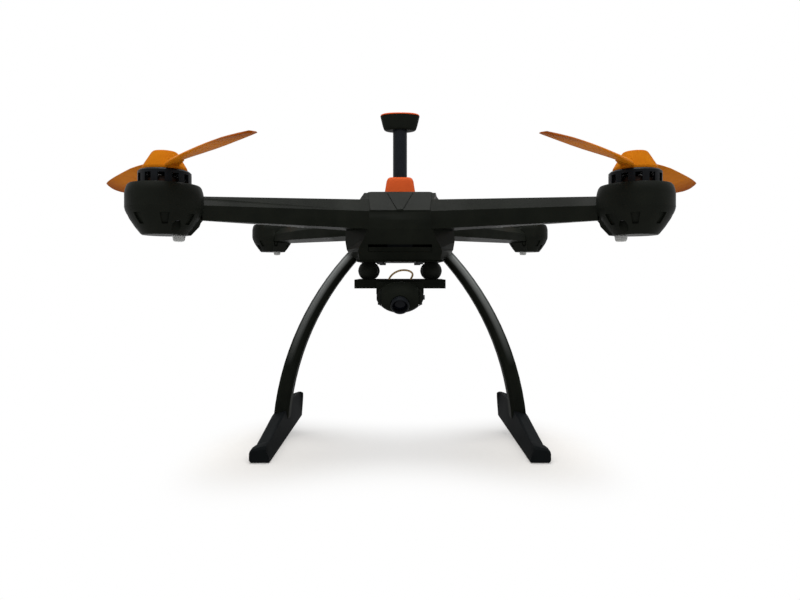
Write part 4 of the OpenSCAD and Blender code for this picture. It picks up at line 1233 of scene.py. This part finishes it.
@dataclass(frozen=True)
class Softbox:
    """A rectangular light: its place, width and depth in metres, its power in watts."""

    name: str
    place: Point
    size: Pair
    watts: float = 15.0


@dataclass
class Studio:
    """A white room with two broad lights, the floor and the camera."""

    lens_mm: float = 24.93
    camera_at: Point = (0.0, -0.451, 0.130)
    shift_y: float = -0.035
    room_light: float = 0.5
    aim: Point = (0.0, 0.0, 0.15)
    lights: tuple[Softbox, ...] = (
        Softbox("overhead_softbox", (0.0, 0.1, 1.35), (1.1, 0.5)),
        Softbox("front_softbox", (0.0, -0.9, 1.25), (2.4, 0.5)))
    floor_half: float = 4.0
    floor_colour: str = "#d3d1ce"
    # The shadow shows in two soft ovals, one at each skid. Across, they count in square
    # metres from the middle plane, so that they melt into each other there.
    pool_at: Point = (0.0095, -0.05, 0.0)
    pool_size: Point = (0.018, 0.11, 1.0)
    pool_core: float = 0.1
    pool_glow: float = 0.08

    def camera(self) -> None:
        """Sets the level camera in front of the nose."""
        data = bpy.data.cameras.new("camera")
        data.lens = self.lens_mm
        data.shift_y = self.shift_y
        camera = bpy.data.objects.new("camera", data)
        camera.location = self.camera_at
        camera.rotation_euler = (math.radians(90), 0, 0)
        bpy.context.scene.collection.objects.link(camera)
        bpy.context.scene.camera = camera

    @staticmethod
    def shows_background(tree: bpy.types.NodeTree) -> Socket:
        """Tells the rays that see the plain white background.

        Args:
            tree: The node tree that asks.

        Returns:
            1 for camera, glossy and transmission rays, else 0.
        """
        path = add_node(tree, "LightPath")
        seen = path.outputs["Is Camera Ray"]
        for ray in ("Is Glossy Ray", "Is Transmission Ray"):
            either = add_node(tree, "Math", {0: seen, 1: path.outputs[ray]}, operation="MAXIMUM")
            seen = either.outputs[0]
        return seen

    def world(self) -> None:
        """Fills the room with even light before a white background."""
        world = bpy.data.worlds.new("white_room")
        world.use_nodes = True
        bpy.context.scene.world = world
        tree = world.node_tree
        tree.nodes.clear()
        level = add_node(tree, "MapRange", {
            "Value": self.shows_background(tree), "To Min": self.room_light})
        room = add_node(tree, "Background", {
            "Color": linear("#ffffff"), "Strength": level.outputs["Result"]})
        add_node(tree, "OutputWorld", {"Surface": room.outputs["Background"]})

    def lamp(self, light: Softbox) -> None:
        """Hangs a rectangular light that faces the object.

        Args:
            light: The light.
        """
        data = bpy.data.lights.new(light.name, "AREA")
        data.shape = "RECTANGLE"
        data.size, data.size_y = light.size
        data.energy = light.watts
        lamp = bpy.data.objects.new(light.name, data)
        lamp.location = light.place
        towards = Vector(self.aim) - Vector(light.place)
        lamp.rotation_euler = towards.to_track_quat("-Z", "Y").to_euler()
        bpy.context.scene.collection.objects.link(lamp)

    def floor_material(self) -> bpy.types.Material:
        """Makes a white floor that keeps the object's shadow and fades into the room.

        Returns:
            The material.
        """
        material = bpy.data.materials.new("white_studio_floor")
        material.use_nodes = True
        tree = material.node_tree
        tree.nodes.clear()
        where = add_node(tree, "TexCoord").outputs["Object"]
        axes = add_node(tree, "SeparateXYZ", {0: where})
        squared = add_node(tree, "Math", {
            0: axes.outputs["X"], 1: axes.outputs["X"]}, operation="MULTIPLY")
        halves = add_node(tree, "CombineXYZ", {0: squared.outputs[0], 1: axes.outputs["Y"]})
        oval = add_node(tree, "Mapping", {
            "Vector": halves.outputs["Vector"], "Location": self.pool_at, "Scale": self.pool_size},
            vector_type="TEXTURE")
        reach = add_node(tree, "VectorMath", {0: oval.outputs["Vector"]}, operation="LENGTH")
        fade = add_node(tree, "MapRange", {
            "Value": reach.outputs["Value"], "From Min": self.pool_core,
            "To Min": self.pool_glow}, interpolation_type="SMOOTHERSTEP")
        seen = add_node(tree, "Math", {
            0: fade.outputs["Result"], 1: self.shows_background(tree)}, operation="MULTIPLY")
        paint = add_node(tree, "BsdfDiffuse", {"Color": linear(self.floor_colour)})
        glow = add_node(tree, "Emission", {"Color": linear("#ffffff"), "Strength": 1.0})
        mix = add_node(tree, "MixShader", {
            0: seen.outputs[0], 1: paint.outputs[0], 2: glow.outputs[0]})
        add_node(tree, "OutputMaterial", {"Surface": mix.outputs[0]})
        return material

    def floor(self) -> None:
        """Lays the floor."""
        select_none()
        bpy.ops.mesh.primitive_plane_add(size=2 * self.floor_half, location=(0, 0, 0))
        floor = settle(bpy.context.object, "floor")
        floor.data.materials.append(self.floor_material())

    def build(self) -> None:
        """Sets up camera, room, lights and floor."""
        bpy.context.scene.view_settings.view_transform = "Standard"
        self.camera()
        self.world()
        for light in self.lights:
            self.lamp(light)
        self.floor()


def main() -> None:
    """Builds the studio and each sub-assembly in order."""
    logging.basicConfig(level=logging.INFO, format="%(message)s")
    Studio().build()
    wardrobe = Wardrobe()
    for assembly in (Solids, Airframe, Drives, Mast, LandingGear, Gimbal, Lamps):
        LOG.info("== %s", assembly.__name__)
        assembly(wardrobe).build()


if __name__ == "__main__":
    main()
